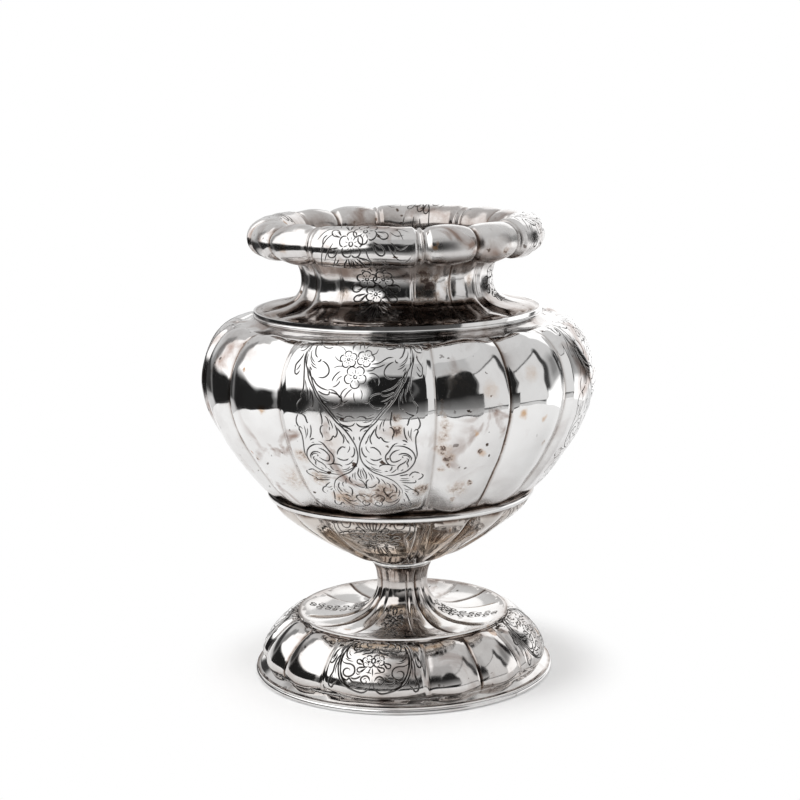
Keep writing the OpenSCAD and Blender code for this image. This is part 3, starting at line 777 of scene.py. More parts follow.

# Girdle wire: half round wire soldered over the seam of the bowl's two halves. Black
# oxide and painted shade lie on top of it against the bowl, most of them at the left.
girdle_silver = silver("girdle silver", relief=0.03, tarnish=0.7, stains=0.5, spots=0.3, polish=0.05)
tree = girdle_silver.node_tree
place = node(tree, "SeparateXYZ", Vector=node(tree, "TexCoord").outputs["Object"])
# Painted shade and oxide: a dark band along the wire's top, strongest at the left.
above = node(tree, "MapRange", in0=place.outputs["Z"], in1=0.0862, in2=0.0870)
left = node(tree, "MapRange", in0=place.outputs["X"], in1=0.03, in2=-0.02, in3=0.45, in4=1.2)
black = node(tree, "Math", operation="MULTIPLY", in0=above.outputs[0], in1=left.outputs[0])
tree.links.new(black.outputs[0], tree.nodes["Group"].inputs["Grime_and_shade"])
wire("girdle_wire_bent", "girdle_wire", half_round(60.15, 1.8, 84.1, 3.8), girdle_silver)

# Upper bowl: the lobed belly and shoulder, raised from one sheet of silver, with a
# plain hollow band round the top and an edge turned up to carry the neck.
belly = Outline(
    [[(60.1, 86)], [(60.1, 88)], bend((60.1, 88), (87.9, 139), (0.3, 0.2), (0.97, 0.62))[1:],
     bend((87.9, 139), (71.5, 165.3), (0, 0.42), (0.36, 0.94))[1:],
     bend((71.5, 165.3), (64.7, 168), (0.5, -0.05), (0.82, 0.3))[1:], [(64.7, 170.4)]],
    lobed=(1, 3), lift=2.4, reach=(0.12, 0.1), seam=(-0.42, 0.7), edge=(0.25, 0.45), waves=0.075, seed=6,
    # Shade: soiling and painted shade, almost black just above the girdle wire and darker under the
    # shoulder wire.
    shade=((0, 0.95), (0.032, 0.95), (0.045, 0.3), (0.1, 0), (0.88, 0), (0.94, 0.1), (1, 0.32)),
    haze=((0, 0.6), (0.3, 0.35), (0.45, 0), (1, 0)))
# Marks by degrees round from the front, height, radius and strength: the brown stain at
# the foot of the front panel, specks beside that panel, and small rusty spots.
belly_marks = {
    "Aged": (
        (-6, 97.5, 6, 0.7), (1, 98.5, 5, 0.7), (7, 101, 7, 0.9), (19.3, 102.4, 4, 0.9),
        (-14.3, 107.4, 4.5, 0.8), (-17.1, 118, 4, 0.7), (11.8, 131, 3, 1), (11.6, 137, 2, 1),
        (24, 143.5, 1.8, 1.2), (24.3, 140, 2, 1.2), (24.1, 137, 2.4, 1.2), (25, 131.4, 3.6, 0.8),
        (24, 127, 4, 0.7), (24.5, 121, 4, 1), (26.5, 117, 3, 1), (24.7, 111, 2, 1.2), (27, 113, 1.4, 1.2),
        (35.5, 104, 1.6, 1.2), (32, 101.5, 5, 0.6), (31, 96, 1.4, 1.2), (28, 150, 7, 0.45),
        (-38, 112, 1.6, 1.1), (35.8, 119.4, 1.8, 1.1), (60, 118, 1.4, 1), (-25, 104, 8, 0.4)),
    "Rust": (
        (30, 158, 3, 0.55), (35, 159, 2.2, 0.5), (-28, 137, 1.9, 1), (49, 133.8, 2.4, 1),
        (56.4, 130.4, 1.6, 0.7), (33.5, 128.6, 1.4, 0.7), (52.3, 151, 4, 0.3), (38, 146, 4, 0.35),
        (-47.9, 160, 3, 0.4), (-9, 98, 4, 0.5), (37, 118, 1.8, 0.6), (-60, 125, 2, 0.7),
        (-6.5, 126, 5, 0.14))}
below_band = belly.even < 70
belly_away = lambda height: np.interp(height, belly.z[below_band], belly.r[below_band]) + belly.lift
belly_silver = silver(
    "upper bowl silver", engraved=True, tarnish=1.2, stains=1.4, spots=1.0, polish=0.03,
    marks=[(kind, turn, belly_away(height), height, radius, strength)
           for kind in belly_marks for turn, height, radius, strength in belly_marks[kind]])


def leaning(lines):
    """Each line and its mirror image. The middle of the design leans to the right
    towards its lower end, as it was drawn by eye."""
    both = []
    for line in lines:
        line = np.array(line, float)
        middle = np.interp(line[:, 1], (15, 30), (0.09, 0.035))
        both += [line, np.stack([2 * middle - line[:, 0], line[:, 1]], -1)]
    return both


def belly_cuts(points_at):
    """The panel's scrolls, volutes and leaves in bold and fine lines, both mirrored,
    then the leaves round the flowers, three blossoms, and two curls near the foot."""
    bold = [
        # stalk from the top, round the crossing and into the lower scroll
        [(.69, 90), (.72, 87), (.74, 84), (.74, 81.4), (.73, 79), (.7, 76.7), (.67, 75), (.64, 72),
         (.6, 69.7), (.55, 67), (.51, 64.4), (.43, 61), (.34, 57.8), (.27, 55), (.2, 52.8),
         (.14, 50.3), (.09, 47.2), (.06, 44.4), (.05, 41.7), (.05, 38.9), (.07, 36.1), (.1, 34.2),
         (.15, 32.2), (.2, 30.6), (.27, 29.4), (.34, 28.2), (.4, 27.1), (.46, 25.7), (.51, 23.9),
         (.55, 21.9), (.58, 20), (.58, 18.1), (.57, 16.1)],
        [(.66, 77.5), (.62, 73.5), (.56, 69), (.49, 65.4), (.42, 62.2), (.34, 59.2), (.27, 56.4),
         (.2, 54)],
        [(.09, 11.9), (.12, 10.8), (.18, 9.6), (.27, 8.9), (.37, 9.2), (.45, 10.6), (.51, 12.5),
         (.55, 15)],
        # volute
        [(.54, 46.1), (.49, 45.4), (.46, 44.2), (.42, 41.9), (.38, 40), (.37, 38.1), (.39, 35.8),
         (.43, 34.7), (.51, 34.6)],
        [(.47, 44.4), (.53, 44.6), (.6, 44.3), (.66, 43.3), (.71, 41.7), (.74, 39.7), (.75, 37.5),
         (.73, 35.3), (.68, 32.8), (.62, 31.1), (.54, 30), (.48, 29.2), (.4, 28.8), (.32, 28.9)],
        [(.56, 42.8), (.5, 42.2), (.46, 41.1), (.43, 39.4), (.43, 38.1), (.45, 36.5), (.5, 36.5),
         (.55, 37.4), (.58, 38.3)],
        [(.58, 39.6), (.59, 38.7), (.6, 38.4)],
        [(.53, 40.1), (.58, 40.8), (.64, 40.6), (.68, 39.4), (.7, 38.1), (.69, 36.7)],
        [(.63, 38.3), (.66, 37.8), (.66, 36.7), (.64, 35.8), (.66, 34.4), (.65, 33.3)],
        [(.64, 37.5), (.61, 36.1), (.56, 35), (.53, 33.9), (.52, 32.5), (.53, 31.8)],
        # upright outer leaf
        [(.63, 54.3), (.65, 53.9), (.66, 55.3), (.68, 56.8), (.74, 57.8)],
        [(.76, 57.5), (.79, 55.8), (.8, 53.9), (.78, 52.2), (.76, 51.8)],
        [(.72, 50.8), (.74, 51.7), (.76, 51.9), (.78, 51.3), (.77, 50.6), (.75, 48.6), (.75, 45.8),
         (.76, 43), (.77, 40.3), (.76, 37.5)],
        [(.61, 53.3), (.61, 51.4), (.62, 49.2), (.65, 46.9)], [(.58, 47.1), (.62, 46.9), (.65, 46)],
        # hanging leaf at the right
        [(.58, 66.7), (.56, 63.9), (.56, 61.9), (.57, 60.2), (.61, 60.5)],
        [(.61, 59.7), (.68, 58.2), (.74, 57.7)],
        [(.71, 63.7), (.74, 62.5), (.77, 61), (.76, 59), (.75, 57.9)],
        [(.76, 83.3), (.75, 79.4), (.72, 75.6), (.7, 71.7), (.69, 68.3), (.71, 65.6), (.73, 64.6),
         (.71, 63.7)],
        # hanging buds
        [(.3, 54.4), (.28, 52.8), (.27, 50.6), (.29, 48.9), (.31, 48.2), (.33, 48.9), (.36, 47.2),
         (.4, 46.5), (.44, 46.7)],
        [(.47, 47.4), (.47, 48.9), (.49, 50.6), (.48, 52.2), (.46, 53.1), (.43, 52.9)],
        [(.46, 53.3), (.45, 55.6), (.46, 57.8), (.47, 60)],
        [(.19, 44.4), (.2, 43.6), (.23, 44), (.27, 43), (.3, 41.7), (.32, 39.7)],
        [(.33, 38.6), (.29, 37.6), (.24, 37.2), (.2, 37.5), (.17, 38.3)],
        [(.09, 44.2), (.08, 42.5), (.09, 40.6), (.11, 39.4), (.12, 38.8), (.14, 39.6)],
        [(.22, 45.3), (.2, 46.9), (.2, 48.6), (.23, 50.6), (.27, 52.8)],
        # leaf under the flower
        [(.04, 56.5), (.09, 57.4), (.15, 57.2), (.17, 56.5), (.22, 56.8), (.28, 57.5)],
        [(.04, 55), (.07, 53.8), (.12, 53.3), (.19, 53.8), (.24, 54.6)],
        [(.08, 51.1), (.1, 52.1), (.15, 52.9), (.21, 53.6)], [(.07, 49.2), (.07, 47.2)],
        # leaf below the volute
        [(.28, 33.5), (.29, 34.2), (.33, 34.9), (.4, 35), (.43, 34.7)],
        [(.45, 34.2), (.44, 32.5), (.41, 31.3)],
        # leaves on the stalk
        [(.64, 87), (.64, 84.5), (.62, 82.3), (.6, 81), (.56, 80)],
        [(.52, 80), (.52, 79), (.54, 78.5), (.56, 78.4)],
        [(.51, 78.9), (.47, 78.6), (.42, 77.4), (.39, 76), (.38, 74.4), (.4, 73), (.45, 72.1),
         (.52, 72.3)],
        [(.67, 76.1), (.62, 72.8), (.57, 71.4), (.53, 69.7), (.47, 68.3), (.4, 67.5), (.35, 67.2)],
        [(.35, 67.4), (.36, 65.6), (.43, 65.8), (.5, 67)],
        [(.35, 66.4), (.3, 66.3), (.24, 65.6), (.2, 64)],
        [(.2, 65.5), (.2, 63.3), (.17, 62.9), (.12, 63.3)],
        [(.2, 63), (.24, 61.4), (.3, 60.6), (.35, 61)],
        # round leaf at the top
        [(.42, 90.3), (.38, 89.4), (.36, 88.1), (.37, 86.1)],
        [(.39, 85.3), (.44, 84.6), (.5, 84.9), (.56, 86)],
        [(.56, 87.2), (.59, 86), (.61, 86.7), (.63, 88.1), (.62, 90)],
        # small outer leaves
        [(.79, 89.5), (.83, 88.3), (.82, 87.5), (.8, 87.6)],
        [(.83, 87.6), (.86, 86.1), (.87, 84.4), (.86, 83.7)],
        [(.87, 82.9), (.83, 82.8), (.79, 83.6), (.77, 85), (.75, 87.5)],
        [(.79, 82.2), (.79, 80.6), (.81, 78.9), (.83, 77.9), (.85, 76.7), (.85, 75.3), (.84, 73.3),
         (.81, 72.8), (.79, 73.6), (.77, 74.7)],
        # outer sprays
        [(.54, 28.8), (.6, 29.2), (.67, 29.7)],
        [(.67, 28.6), (.69, 29.6), (.71, 30.4), (.75, 31), (.82, 30.1)],
        [(.83, 30.1), (.86, 29.2), (.86, 28.2), (.83, 27.2), (.79, 26.5)],
        [(.75, 26.4), (.77, 25.8), (.76, 24.9), (.7, 24.7), (.62, 24.9), (.56, 25.3)],
        [(.58, 23.8), (.64, 22.6), (.69, 21.4), (.71, 20.7), (.76, 20), (.8, 18.6), (.82, 17.4),
         (.8, 16.4), (.78, 16.1)],
        [(.61, 18.8), (.63, 17.8), (.66, 15.3), (.68, 13.6), (.69, 12.8), (.66, 12.8)],
        [(.69, 12.5), (.71, 11.1), (.72, 9.7), (.7, 8.6), (.66, 8.5), (.62, 9.3), (.6, 10.3),
         (.57, 11), (.56, 9.7), (.53, 9)],
        # leaves in the middle
        [(.06, 33.6), (.07, 31.9), (.09, 30), (.09, 27.8), (.07, 26.4)],
        [(.13, 26.7), (.09, 25.8), (.07, 24.4), (.07, 23), (.06, 21.4), (.04, 20.5)],
        [(.08, 22.5), (.1, 21.7), (.14, 21.7), (.18, 22.4), (.21, 23.5), (.22, 24)],
        [(.22, 28.3), (.24, 27.2), (.26, 26.1), (.25, 24.4), (.23, 24)],
        # inside of the lower scroll
        [(.34, 22), (.31, 20.6), (.31, 19.4), (.33, 17.8), (.36, 16.4), (.37, 15.3)],
        [(.38, 14.4), (.41, 15.8), (.44, 16.5), (.48, 16.1)],
        [(.31, 13.3), (.34, 12.5), (.38, 12.2), (.44, 12.6), (.49, 13.6), (.53, 15)],
        [(.17, 14.9), (.2, 16.1), (.24, 16.5), (.28, 16.3), (.31, 15), (.29, 13.6), (.26, 12.2),
         (.26, 11.4)],
        [(.43, 24.2), (.47, 22.8), (.49, 21.7), (.5, 20.3), (.48, 17.8)],
    ]
    fine = [
        [(.58, 77.8), (.64, 79.5), (.68, 81.7), (.68, 84)],
        [(.56, 76.7), (.62, 77.8), (.66, 79.4), (.68, 81)], [(.54, 75.6), (.6, 76.4), (.65, 77.8)],
        [(.6, 74.6), (.65, 76.4)], [(.34, 63.3), (.4, 63.9), (.48, 65.6)],
        [(.38, 62.5), (.43, 63), (.49, 65)], [(.39, 60.8), (.43, 62), (.48, 64)],
        [(.61, 68.3), (.59, 65.6), (.6, 62.2)], [(.64, 68.3), (.63, 65.6), (.64, 62.8)],
        [(.68, 71), (.66, 69), (.65, 66.5)], [(.77, 87), (.79, 85.3), (.83, 84.2)],
        [(.78, 77.2), (.8, 75.6), (.83, 74.2)], [(.72, 82), (.71, 79), (.69, 76)],
        [(.71, 88), (.72, 85), (.72, 81.5)], [(.36, 53), (.37, 51.1)],
        [(.32, 52), (.33, 53.9), (.36, 56.1)], [(.36, 53.3), (.38, 56.1), (.42, 57.5)],
        [(.17, 57.2), (.23, 58.1), (.28, 58.9)], [(.12, 55.1), (.19, 55.4), (.24, 56)],
        [(.12, 51.1), (.17, 52.2)], [(.14, 44.7), (.14, 43), (.18, 41)],
        [(.2, 50.3), (.17, 48), (.15, 45.8)], [(.16, 47.5), (.13, 45.3)],
        [(.11, 37.8), (.15, 36.1), (.2, 35), (.26, 34.6)], [(.17, 34.2), (.22, 32.5), (.31, 31.7)],
        [(.09, 35.8), (.12, 33.9), (.19, 32.2), (.27, 30.8), (.34, 30.3)], [(.34, 31), (.4, 31.3)],
        [(.66, 51.9), (.66, 50), (.68, 47.8)], [(.7, 52.8), (.69, 50.6), (.69, 48), (.71, 46.4)],
        [(.59, 45.4), (.64, 45.1)], [(.58, 39.7), (.63, 39.9), (.67, 38.9), (.68, 37.5)],
        [(.6, 32.6), (.56, 31.4)], [(.51, 32.8), (.47, 31.1), (.42, 30.1)],
        [(.55, 27.5), (.61, 27.2), (.68, 27.4)], [(.53, 26.4), (.62, 26.1), (.7, 26.1)],
        [(.61, 20), (.64, 19.2), (.68, 18.6)], [(.6, 21.4), (.65, 20.3), (.71, 20.4)],
        [(.74, 18.2), (.74, 17.2)], [(.6, 14.7), (.61, 13.3), (.62, 12.1)],
        [(.28, 27.2), (.32, 25.6), (.34, 23.9), (.36, 23)],
        [(.35, 24.7), (.39, 23.9), (.41, 22.5), (.41, 21.1)],
        [(.53, 20.8), (.54, 18.9), (.53, 16.9), (.5, 15.3)], [(.38, 17.5), (.43, 18.6), (.44, 20.3)],
        [(.12, 31.1), (.14, 29.2), (.16, 27.5), (.16, 25.6)], [(.15, 30.3), (.18, 28.6), (.2, 26.7)],
        [(.03, 32.8), (.02, 30.6), (.02, 28.6), (.04, 26.7)],
        [(.09, 15), (.13, 16.4), (.17, 17.2), (.22, 17.5)], [(.19, 13.6), (.18, 12.2)],
        [(.41, 8), (.47, 8.8)], [(.12, 89.7), (.17, 88.3), (.2, 87.5), (.28, 87.4)],
        [(.25, 89.7), (.29, 89.4), (.32, 88.6)], [(.12, 84.2), (.09, 87.2), (.05, 89.7)],
    ]
    cuts = []
    draw(cuts, points_at, leaning(bold), 0.7)
    draw(cuts, points_at, leaning(fine), 0.5, fade=(0.3, 0.4))
    draw(cuts, points_at, [
        # leaves and small waves round the flowers
        [(-.16, 75.1), (-.2, 74.2), (-.24, 72.5), (-.26, 70.6)],
        [(-.25, 68.6), (-.21, 69), (-.17, 70.3), (-.16, 71.4)],
        [(.19, 74.2), (.24, 74.4), (.3, 73.3), (.32, 71.4), (.31, 69.4)],
        [(.16, 75.3), (.23, 75.6), (.28, 76.7)],
        [(-.31, 67.8), (-.25, 67.5), (-.2, 66.7), (-.165, 65.3), (-.15, 64.7), (-.125, 66.7),
         (-.09, 68), (-.05, 68.7)],
        [(-.1, 64.4), (-.07, 66.1), (-.03, 67.5), (0, 68.2)],
        [(-.165, 61.7), (-.12, 61.7), (-.08, 63), (-.04, 63.9)],
        [(.22, 78), (.32, 78.6), (.42, 80.6), (.5, 80.8)], [(.2, 76.6), (.3, 76.8), (.4, 78)],
    ], 0.55)
    draw(cuts, points_at, [
        [(-.13, 73.3), (-.18, 72.2), (-.21, 70.5)], [(.2, 72.8), (.25, 72.4), (.28, 70.6)],
        [(.1, 68), (.12, 66), (.1, 63)], [(.02, 67), (.02, 64.6), (.05, 62.4)],
        [(-.04, 83.6), (-.05, 86.4), (-.02, 89)], [(.05, 84), (.05, 87), (.1, 90)],
        [(.13, 84.4), (.17, 87), (.22, 88.6)], [(-.13, 83), (-.18, 85), (-.27, 86)],
        [(-.15, 78.6), (-.22, 79.6), (-.28, 81.4)], [(.2, 82), (.27, 82.6), (.3, 85)],
        [(-.11, 77), (-.2, 77), (-.27, 76)],
    ], 0.42, fade=(0.2, 0.4))
    for share, y, radius, start in ((-.08, 80, 3.6, 100), (.14, 80.5, 3.6, 70), (.027, 72.9, 4.6, 54)):
        cuts += blossom(*points_at([(share, y)])[0], radius, start, width=0.6)
    for x, y, start, radius, turns in ((.4, 13.2, 90, 2.2, 1.5), (5.2, 13.2, 90, 2.2, -1.5)):
        cuts.append(curl(x, y, start, radius, turns))
    return cuts


raised_sheet("upper_bowl_chased", "upper_bowl", belly, belly_silver, belly_cuts(on_panel(belly)))

# Shoulder wire: moulded silver wire, a bead, a groove and a fillet, soldered round
# the foot of the neck.
bead = half_round(64.75, 1.3, 167.9, 1.6)
fillet = [(65.4, 169.5), (65.4, 170.3), (65.725, 170.3), (65.725, 171.1), (64.75, 171.1)]
wire("shoulder_wire_bent", "shoulder_wire", np.vstack([bead[:-1], fillet]), wire_silver)

# Neck: waisted lobed sheet of silver with a spread foot and a bunch of flowers on each
# panel, soldered on the bowl's turned up edge. A mottled patch lies right of the front.
neck_marks = [
    ("Aged", 27, 44, 191, 3.6, 1.0), ("Aged", 30, 43.5, 186, 4.4, 1.1), ("Aged", 26, 44, 181, 4, 0.9),
    ("Aged", 35, 44, 188, 2.6, 0.8), ("Aged", 34, 45, 180, 3.4, 0.8), ("Aged", 44, 44, 184, 4, 0.6),
    ("Aged", -20, 44, 182, 4, 0.6), ("Aged", 60, 44, 186, 4, 0.6)]
neck_silver = silver("neck silver", engraved=True, tarnish=0.6, stains=1.4, spots=0.6, polish=0.04,
                     marks=neck_marks)
throat = Outline(
    [[(64.7, 171.1)], [(63.2, 171.1)], bend((63.2, 171.1), (42, 184.8), (0.84, 0.02), (1, 0.45))[1:],
     bend((42, 184.8), (51.897, 199.8), (0, 0.45), (0.4, 0.8))[1:]],
    lobed=(1, 3), lift=1.5, reach=(0.15, 0.15), seam=(0.35, 0.45), edge=(0.5, 0.45), waves=0.1, seed=7,
    # Shade: soiling and painted shade at the spread foot and, darkest, at the top under the rim.
    shade=((0, 0.7), (0.12, 0.46), (0.42, 0.38), (0.58, 0.04), (0.7, 0.15), (0.84, 0.5), (1, 0.9)),
    haze=((0, 0.1), (0.5, 0.1), (0.7, 0.18), (1, 0.5)))


def throat_cuts(points_at):
    """Leaves and stems, mirrored, under three blossoms."""
    leaves = [((-.3, 29.6), (-.62, 28), 3.4), ((-.24, 26), (-.54, 22.4), 3.0),
              ((-.12, 22), (-.36, 19), 2.0), ((-.1, 20), (-.3, 15), 2.0)]
    stems = [[(-.06, 21), (-.13, 16), (-.18, 11)], [(-.03, 21), (-.07, 15), (-.09, 9)],
             [(-.2, 37), (-.27, 38.4), (-.33, 37)], [(-.05, 37), (-.1, 39), (-.17, 38)],
             [(-.08, 20), (-.2, 14.4), (-.26, 11.6)], [(-.02, 20), (-.03, 14), (-.03, 8)],
             [(-.16, 23), (-.28, 21.4), (-.38, 20.6)]]
    cuts = mirrored(sprig(points_at, [], leaves, stems, 4.3, width=0.76))
    return cuts + sprig(points_at, [(-.21, 33), (.21, 33), (0, 26)], [], [[(0, 21), (.01, 13), (0, 5)]],
                        4.4, width=0.76)


raised_sheet("neck_chased", "neck", throat, neck_silver, throat_cuts(on_panel(throat)))

# Rolled rim: silver sheet curled outwards into a hollow roll in lobes, soldered to
# the neck's upper edge. Its free edge stops just short of the neck underneath. The
# lobes right of the front are dull and spotted.
turn = np.radians(np.linspace(-130, 216, 400))
curled = np.stack([57.75 + 8.1 * np.cos(turn), 204.032 + 7.2 * np.sin(turn)], -1)
rim_marks = [
    ("Haze", 35, 67, 205, 11, 0.8), ("Haze", 52, 67, 205, 12, 0.9), ("Haze", 68, 67, 204, 9, 0.7),
    ("Haze", 22, 67, 201, 7, 0.8), ("Aged", 35, 67, 206, 10, 0.06), ("Aged", 52, 67, 204, 12, 0.08),
    ("Aged", 45, 67, 201, 2, 1.0), ("Aged", 23, 67, 199, 3.4, 0.9), ("Rust", 46, 67, 207, 1.4, 0.9),
    ("Rust", -34, 67, 203, 2.2, 0.7), ("Aged", 58, 67, 200, 2.4, 0.9)]
rim_silver = silver("rim silver", engraved=True, tarnish=0.9, stains=1.6, spots=0.9, polish=0.05,
                    marks=rim_marks)
roll = Outline(
    [curled[:1], curled[1:]], lobed=(0, 1), lift=1.6, reach=(0.1, 0.12), seam=(-0.9, 1.3), edge=(1.0, 0.6),
    waves=0.16, seed=8, dirt=1.0, pinch=0.9,
    # Shade: soiling and painted shade at both ends of the roll, under it by the neck.
    shade=((0, 0.8), (0.14, 0.6), (0.22, 0.3), (0.34, 0.12), (0.5, 0.08), (0.66, 0.12), (0.78, 0.3),
           (1, 0.7)),
    haze=((0, 0.3), (0.3, 0.12), (0.6, 0.25), (1, 0.3)))


def roll_cuts(points_at):
    """Three blossoms with leaves and stems all round them, and fine feathery leaves."""
    leaves = [
        ((-.1, 14.8), (.13, 10.6), 3.4), ((-.16, 14), (-.1, 7.4), 2.8), ((-.24, 14.4), (-.34, 8), 2.6),
        ((-.38, 18), (-.58, 15), 3.0), ((-.36, 22), (-.56, 25), 3.0), ((-.24, 25), (-.34, 31), 3.0),
        ((-.02, 29.4), (-.02, 36), 3.0), ((.12, 29), (.26, 34), 2.8), ((.22, 24), (.42, 22), 3.0),
        ((.16, 20), (.36, 15.8), 3.0), ((-.14, 29), (-.18, 37), 2.6)]
    stems = [
        [(-.06, 14.4), (0, 9.6), (-.02, 5.6)], [(-.2, 13.6), (-.22, 9), (-.18, 5)],
        [(.06, 18), (.12, 13.6), (.22, 12)], [(-.44, 27), (-.5, 30), (-.46, 34)],
        [(.32, 27), (.42, 28), (.46, 32)], [(.46, 20), (.54, 18), (.52, 15)],
        [(-.62, 23), (-.68, 21), (-.66, 17)], [(-.24, 34), (-.28, 40), (-.24, 45)],
        [(.1, 38), (.14, 43), (.1, 47)], [(.34, 38), (.38, 42), (.34, 46)],
        [(-.04, 39), (-.06, 44), (-.02, 48)], [(.5, 26), (.6, 25), (.68, 20)],
        [(-.4, 14), (-.5, 11), (-.6, 10)], [(.3, 13), (.42, 10), (.5, 11)]]
    cuts = sprig(points_at, [(-.18, 19.4), (.04, 24.4)], leaves, stems, 5.2, width=0.68)
    draw(cuts, points_at, [
        [(-.5, 24), (-.62, 21), (-.74, 16)], [(-.48, 20), (-.6, 16), (-.7, 12)],
        [(-.54, 27), (-.68, 25), (-.8, 20)], [(-.44, 15), (-.54, 11), (-.64, 8)],
        [(-.6, 29.5), (-.72, 28), (-.82, 25)], [(-.66, 19), (-.74, 13), (-.8, 9)],
        [(.44, 24.6), (.56, 22.4), (.7, 23)], [(.42, 19), (.54, 14.6), (.66, 13)],
        [(.4, 28), (.52, 30), (.66, 29)], [(.36, 14), (.46, 9), (.58, 7)],
        [(.5, 19), (.62, 17.4), (.76, 19)], [(.3, 10), (.36, 6), (.44, 4)],
        [(.56, 26.4), (.66, 26), (.78, 24)], [(.62, 12), (.7, 12.4), (.8, 15)],
        [(.56, 33), (.66, 33), (.76, 30)],
    ], 0.5, fade=(0.25, 0.45))
    return cuts + blossom(*points_at([(-.02, 47)])[0], 4.4, start=70, width=0.7)


raised_sheet("rolled_rim_chased", "rolled_rim", roll, rim_silver, roll_cuts(on_panel(roll)))


# The stand: a white paper floor that runs out into a white background, soft lamps
# above it, and round it the boards of a photographer of silver, which only reflections
# see: a softbox at the left, a dark opening behind the camera, pale walls at the
# right, a low board in front, and black card for the dark lines in the metal.
def stand_piece(name, points, faces, material, levels=None):
    """A piece of the stand, with a brightness for each point if it is a board."""
    mesh = bpy.data.meshes.new(name)
    mesh.from_pydata(points, [], faces)
    mesh.materials.append(material)
    if levels is not None:
        mesh.attributes.new("level", "FLOAT", "POINT").data.foreach_set("value", levels.ravel())
    made = bpy.data.objects.new(name, mesh)
    bpy.context.collection.objects.link(made)
    return made


def bare_material(name):
    """A material without nodes."""
    made = bpy.data.materials.new(name)
    made.use_nodes = True
    made.node_tree.nodes.clear()
    return made


paper = bare_material("floor paper")
tree = paper.node_tree
matt = node(tree, "BsdfDiffuse", Color=(0.97, 0.97, 0.97, 1))
white = node(tree, "Emission", Color=(1, 1, 1, 1), Strength=1.0)
away = node(tree, "VectorMath", operation="LENGTH", in0=node(tree, "TexCoord").outputs["Object"])
far = node(tree, "MapRange", in0=away.outputs["Value"], in1=0.074, in2=0.108,
           interpolation_type="SMOOTHSTEP")
seen = node(tree, "LightPath")
share = node(tree, "Math", operation="MULTIPLY", in0=far.outputs[0], in1=seen.outputs["Is Camera Ray"])
mixed = node(tree, "MixShader", in0=share.outputs[0], in1=matt.outputs[0], in2=white.outputs[0])
node(tree, "OutputMaterial", Surface=mixed.outputs[0])
stand_piece("floor", [(-6, -6, 0), (6, -6, 0), (6, 6, 0), (-6, 6, 0)], [(0, 1, 2, 3)], paper)

glow = bare_material("studio cards")
tree = glow.node_tree
level = node(tree, "Attribute", attribute_name="level")
shine = node(tree, "Emission", Color=(1, 1, 1, 1), Strength=level.outputs["Fac"])
node(tree, "OutputMaterial", Surface=shine.outputs[0])


def board(name, x, y, z, level):
    """A board from grids of x, y, z in metres and brightness, seen by reflections."""
    rows, columns = x.shape
    a = (np.arange(rows - 1)[:, None] * columns + np.arange(columns - 1)).ravel()
    points = np.stack([x, y, z], -1).reshape(-1, 3)
    faces = np.stack([a, a + 1, a + columns + 1, a + columns], -1)
    made = stand_piece(name, points.tolist(), faces.tolist(), glow, level)
    for ray in ("camera", "diffuse", "shadow", "transmission", "volume_scatter"):
        setattr(made, "visible_" + ray, False)


def round_board(name, turn, height, away, level):
    """A board that stands round the axis, by degrees to the right of the view."""
    angle = np.radians(turn - 90 + view_degrees)
    board(name, away * np.cos(angle), away * np.sin(angle), height, level)


def card(turn, height, sides, edges, soft):
    """Share of a card over the wall: one inside its sides (degrees to the right of the
    view) and its lower and upper edge (metres), falling to nothing over soft."""
    def within(value, low, high, width):
        return np.clip(np.minimum(value - low, high - value) / width / 2 + 0.5, 0, 1)

    return within(turn, *sides, soft[0]) * within(height, *edges, soft[1])


# The wall: its cards lie over each other in this order, each with its sides, its edges,
# its brightness and its soft border. Its lines are bent a little, as hung cloth is.
wall_turn, wall_height = np.meshgrid(np.linspace(-180, 180, 361), np.linspace(0.0005, 0.75, 181))
turn = wall_turn + 1.2 * np.sin(wall_height * 42)
height = wall_height + 0.005 * np.sin(np.radians(turn) * 9 + 0.5)
arch = 0.345 + 0.095 * (1 - np.clip((turn - 26) / 18, -1, 1) ** 2)
lintel = 0.36 + 0.075 * np.clip((turn - 45) / 40, 0, 1)
brightness = np.full(turn.shape, 0.75)
for sides, edges, level, soft in (
    ((-190, -130), (0.17, 0.45), 0.75, (6, 0.02)),
    ((-190, -150), (-1, 0.13), 1.3, (4, 0.02)),
    ((-131, -117), (0.17, 0.5), 0.33, (3, 0.02)),
    ((-118, -19), (0.2, 0.8), 1.7, (1.5, 0.012)),
    ((-165, -120), (0.05, 0.17), 0.05, (4, 0.02)),
    ((-120, -46), (-1, 0.205), 0.02, (3, 0.014)),
    ((-46, -24), (-1, 0.16), 0.04, (4, 0.02)),
    ((-19, 43), (0.42, 0.8), 0.6, (4, 0.03)),
    ((-26, -18), (-1, 0.18), 0.02, (3, 0.02)),
    ((-20, 8), (-1, 0.41), 0.015, (2, 0.02)),
    ((7, 43), (-1, arch), 0.02, (2, 0.012)),
    ((42.5, 89), (0.03, lintel + 0.016), 0.1, (0.8, 0.005)),
    ((44.5, 87), (0.048, lintel), 0.9, (0.8, 0.006)),
    ((87, 97), (0.13, 0.46), 0.06, (2, 0.02)),
    ((99, 120), (0.14, 0.3), 0.3, (6, 0.04)),
    ((88, 133), (-1, 0.13), 1.5, (2, 0.01)),
    ((120, 133), (0.1, 0.27), 0.025, (2, 0.02)),
    ((133, 190), (0.03, 0.5), 1.35, (2, 0.03)),
):
    share = card(turn, height, sides, edges, soft)
    brightness = brightness * (1 - share) + level * share
round_board("studio_wall", wall_turn, wall_height, away=0.45, level=brightness)

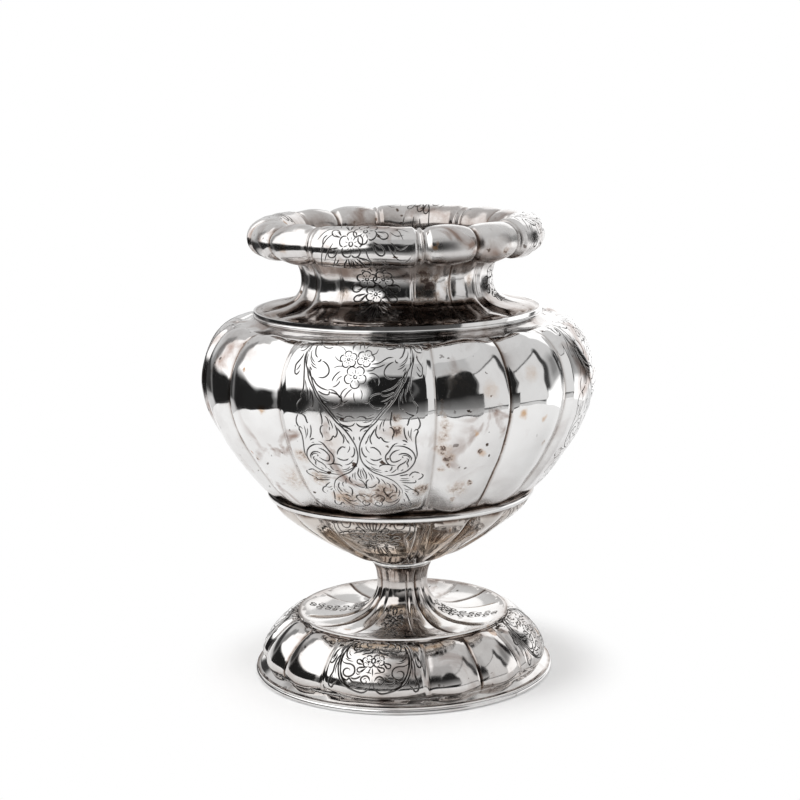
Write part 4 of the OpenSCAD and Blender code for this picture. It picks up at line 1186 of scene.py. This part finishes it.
# The low board in front: pale at its wavy lower edge, which is outlined, and dark above.
turn, share = np.meshgrid(np.linspace(-40, 45, 86), np.linspace(0, 1, 41))
low_edge = np.interp(turn, (-40, -20, 10, 24, 45), (0.067, 0.058, 0.036, 0.05, 0.064))
low_edge += 0.003 * np.sin(np.radians(turn) * 16)
top_edge = np.interp(turn, (-26, -14), (0.138, 0.155))
front = 0.015 + 0.66 * (1 - share) ** 1.15 * (1 - 0.85 * np.clip((-26 - turn) / 12, 0, 1))
front = np.where(share < 0.06, 0.03, front)
round_board("studio_front", turn, low_edge + (top_edge - low_edge) * share, away=0.27, level=front)

# The roof: brighter at the far left of the view.
x, y = np.meshgrid(np.linspace(-0.5, 0.5, 41), np.linspace(-0.5, 0.5, 41))
right = x * np.cos(view_turn) + y * np.sin(view_turn)
board("studio_roof", x, y, np.full(x.shape, 0.75), 0.79 + 0.9 * np.clip((-0.14 - right) / 0.06, 0, 1))

aim = Vector((0, 0, 0.1))
for name, place, size, power in (
    ("left lamp", (-1.3, -0.7, 1.5), 1.4, 16), ("right lamp", (1.4, -0.9, 1.3), 1.2, 7),
):
    lamp = bpy.data.lights.new(name, "AREA")
    lamp.shape, lamp.size, lamp.energy = "DISK", size, power
    made = bpy.data.objects.new(name, lamp)
    turned = (aim - Vector(place)).to_track_quat("-Z", "Y").to_matrix().to_4x4()
    made.matrix_world = Matrix.Translation(place) @ turned
    made.visible_glossy = False
    bpy.context.collection.objects.link(made)

world = bpy.data.worlds.new("surround")
bpy.context.scene.world = world
world.use_nodes = True
tree = world.node_tree
tree.nodes.clear()
rays = node(tree, "LightPath").outputs
direct = node(tree, "Math", operation="MAXIMUM", in0=rays["Is Camera Ray"], in1=rays["Is Glossy Ray"])
direct = node(tree, "Math", operation="MAXIMUM", in0=direct.outputs[0], in1=rays["Is Transmission Ray"])
strength = node(tree, "MapRange", in0=direct.outputs[0], in3=0.8, in4=1.0)
sky = node(tree, "Background", Color=(1, 1, 1, 1), Strength=strength.outputs[0])
node(tree, "OutputWorld", Surface=sky.outputs[0])
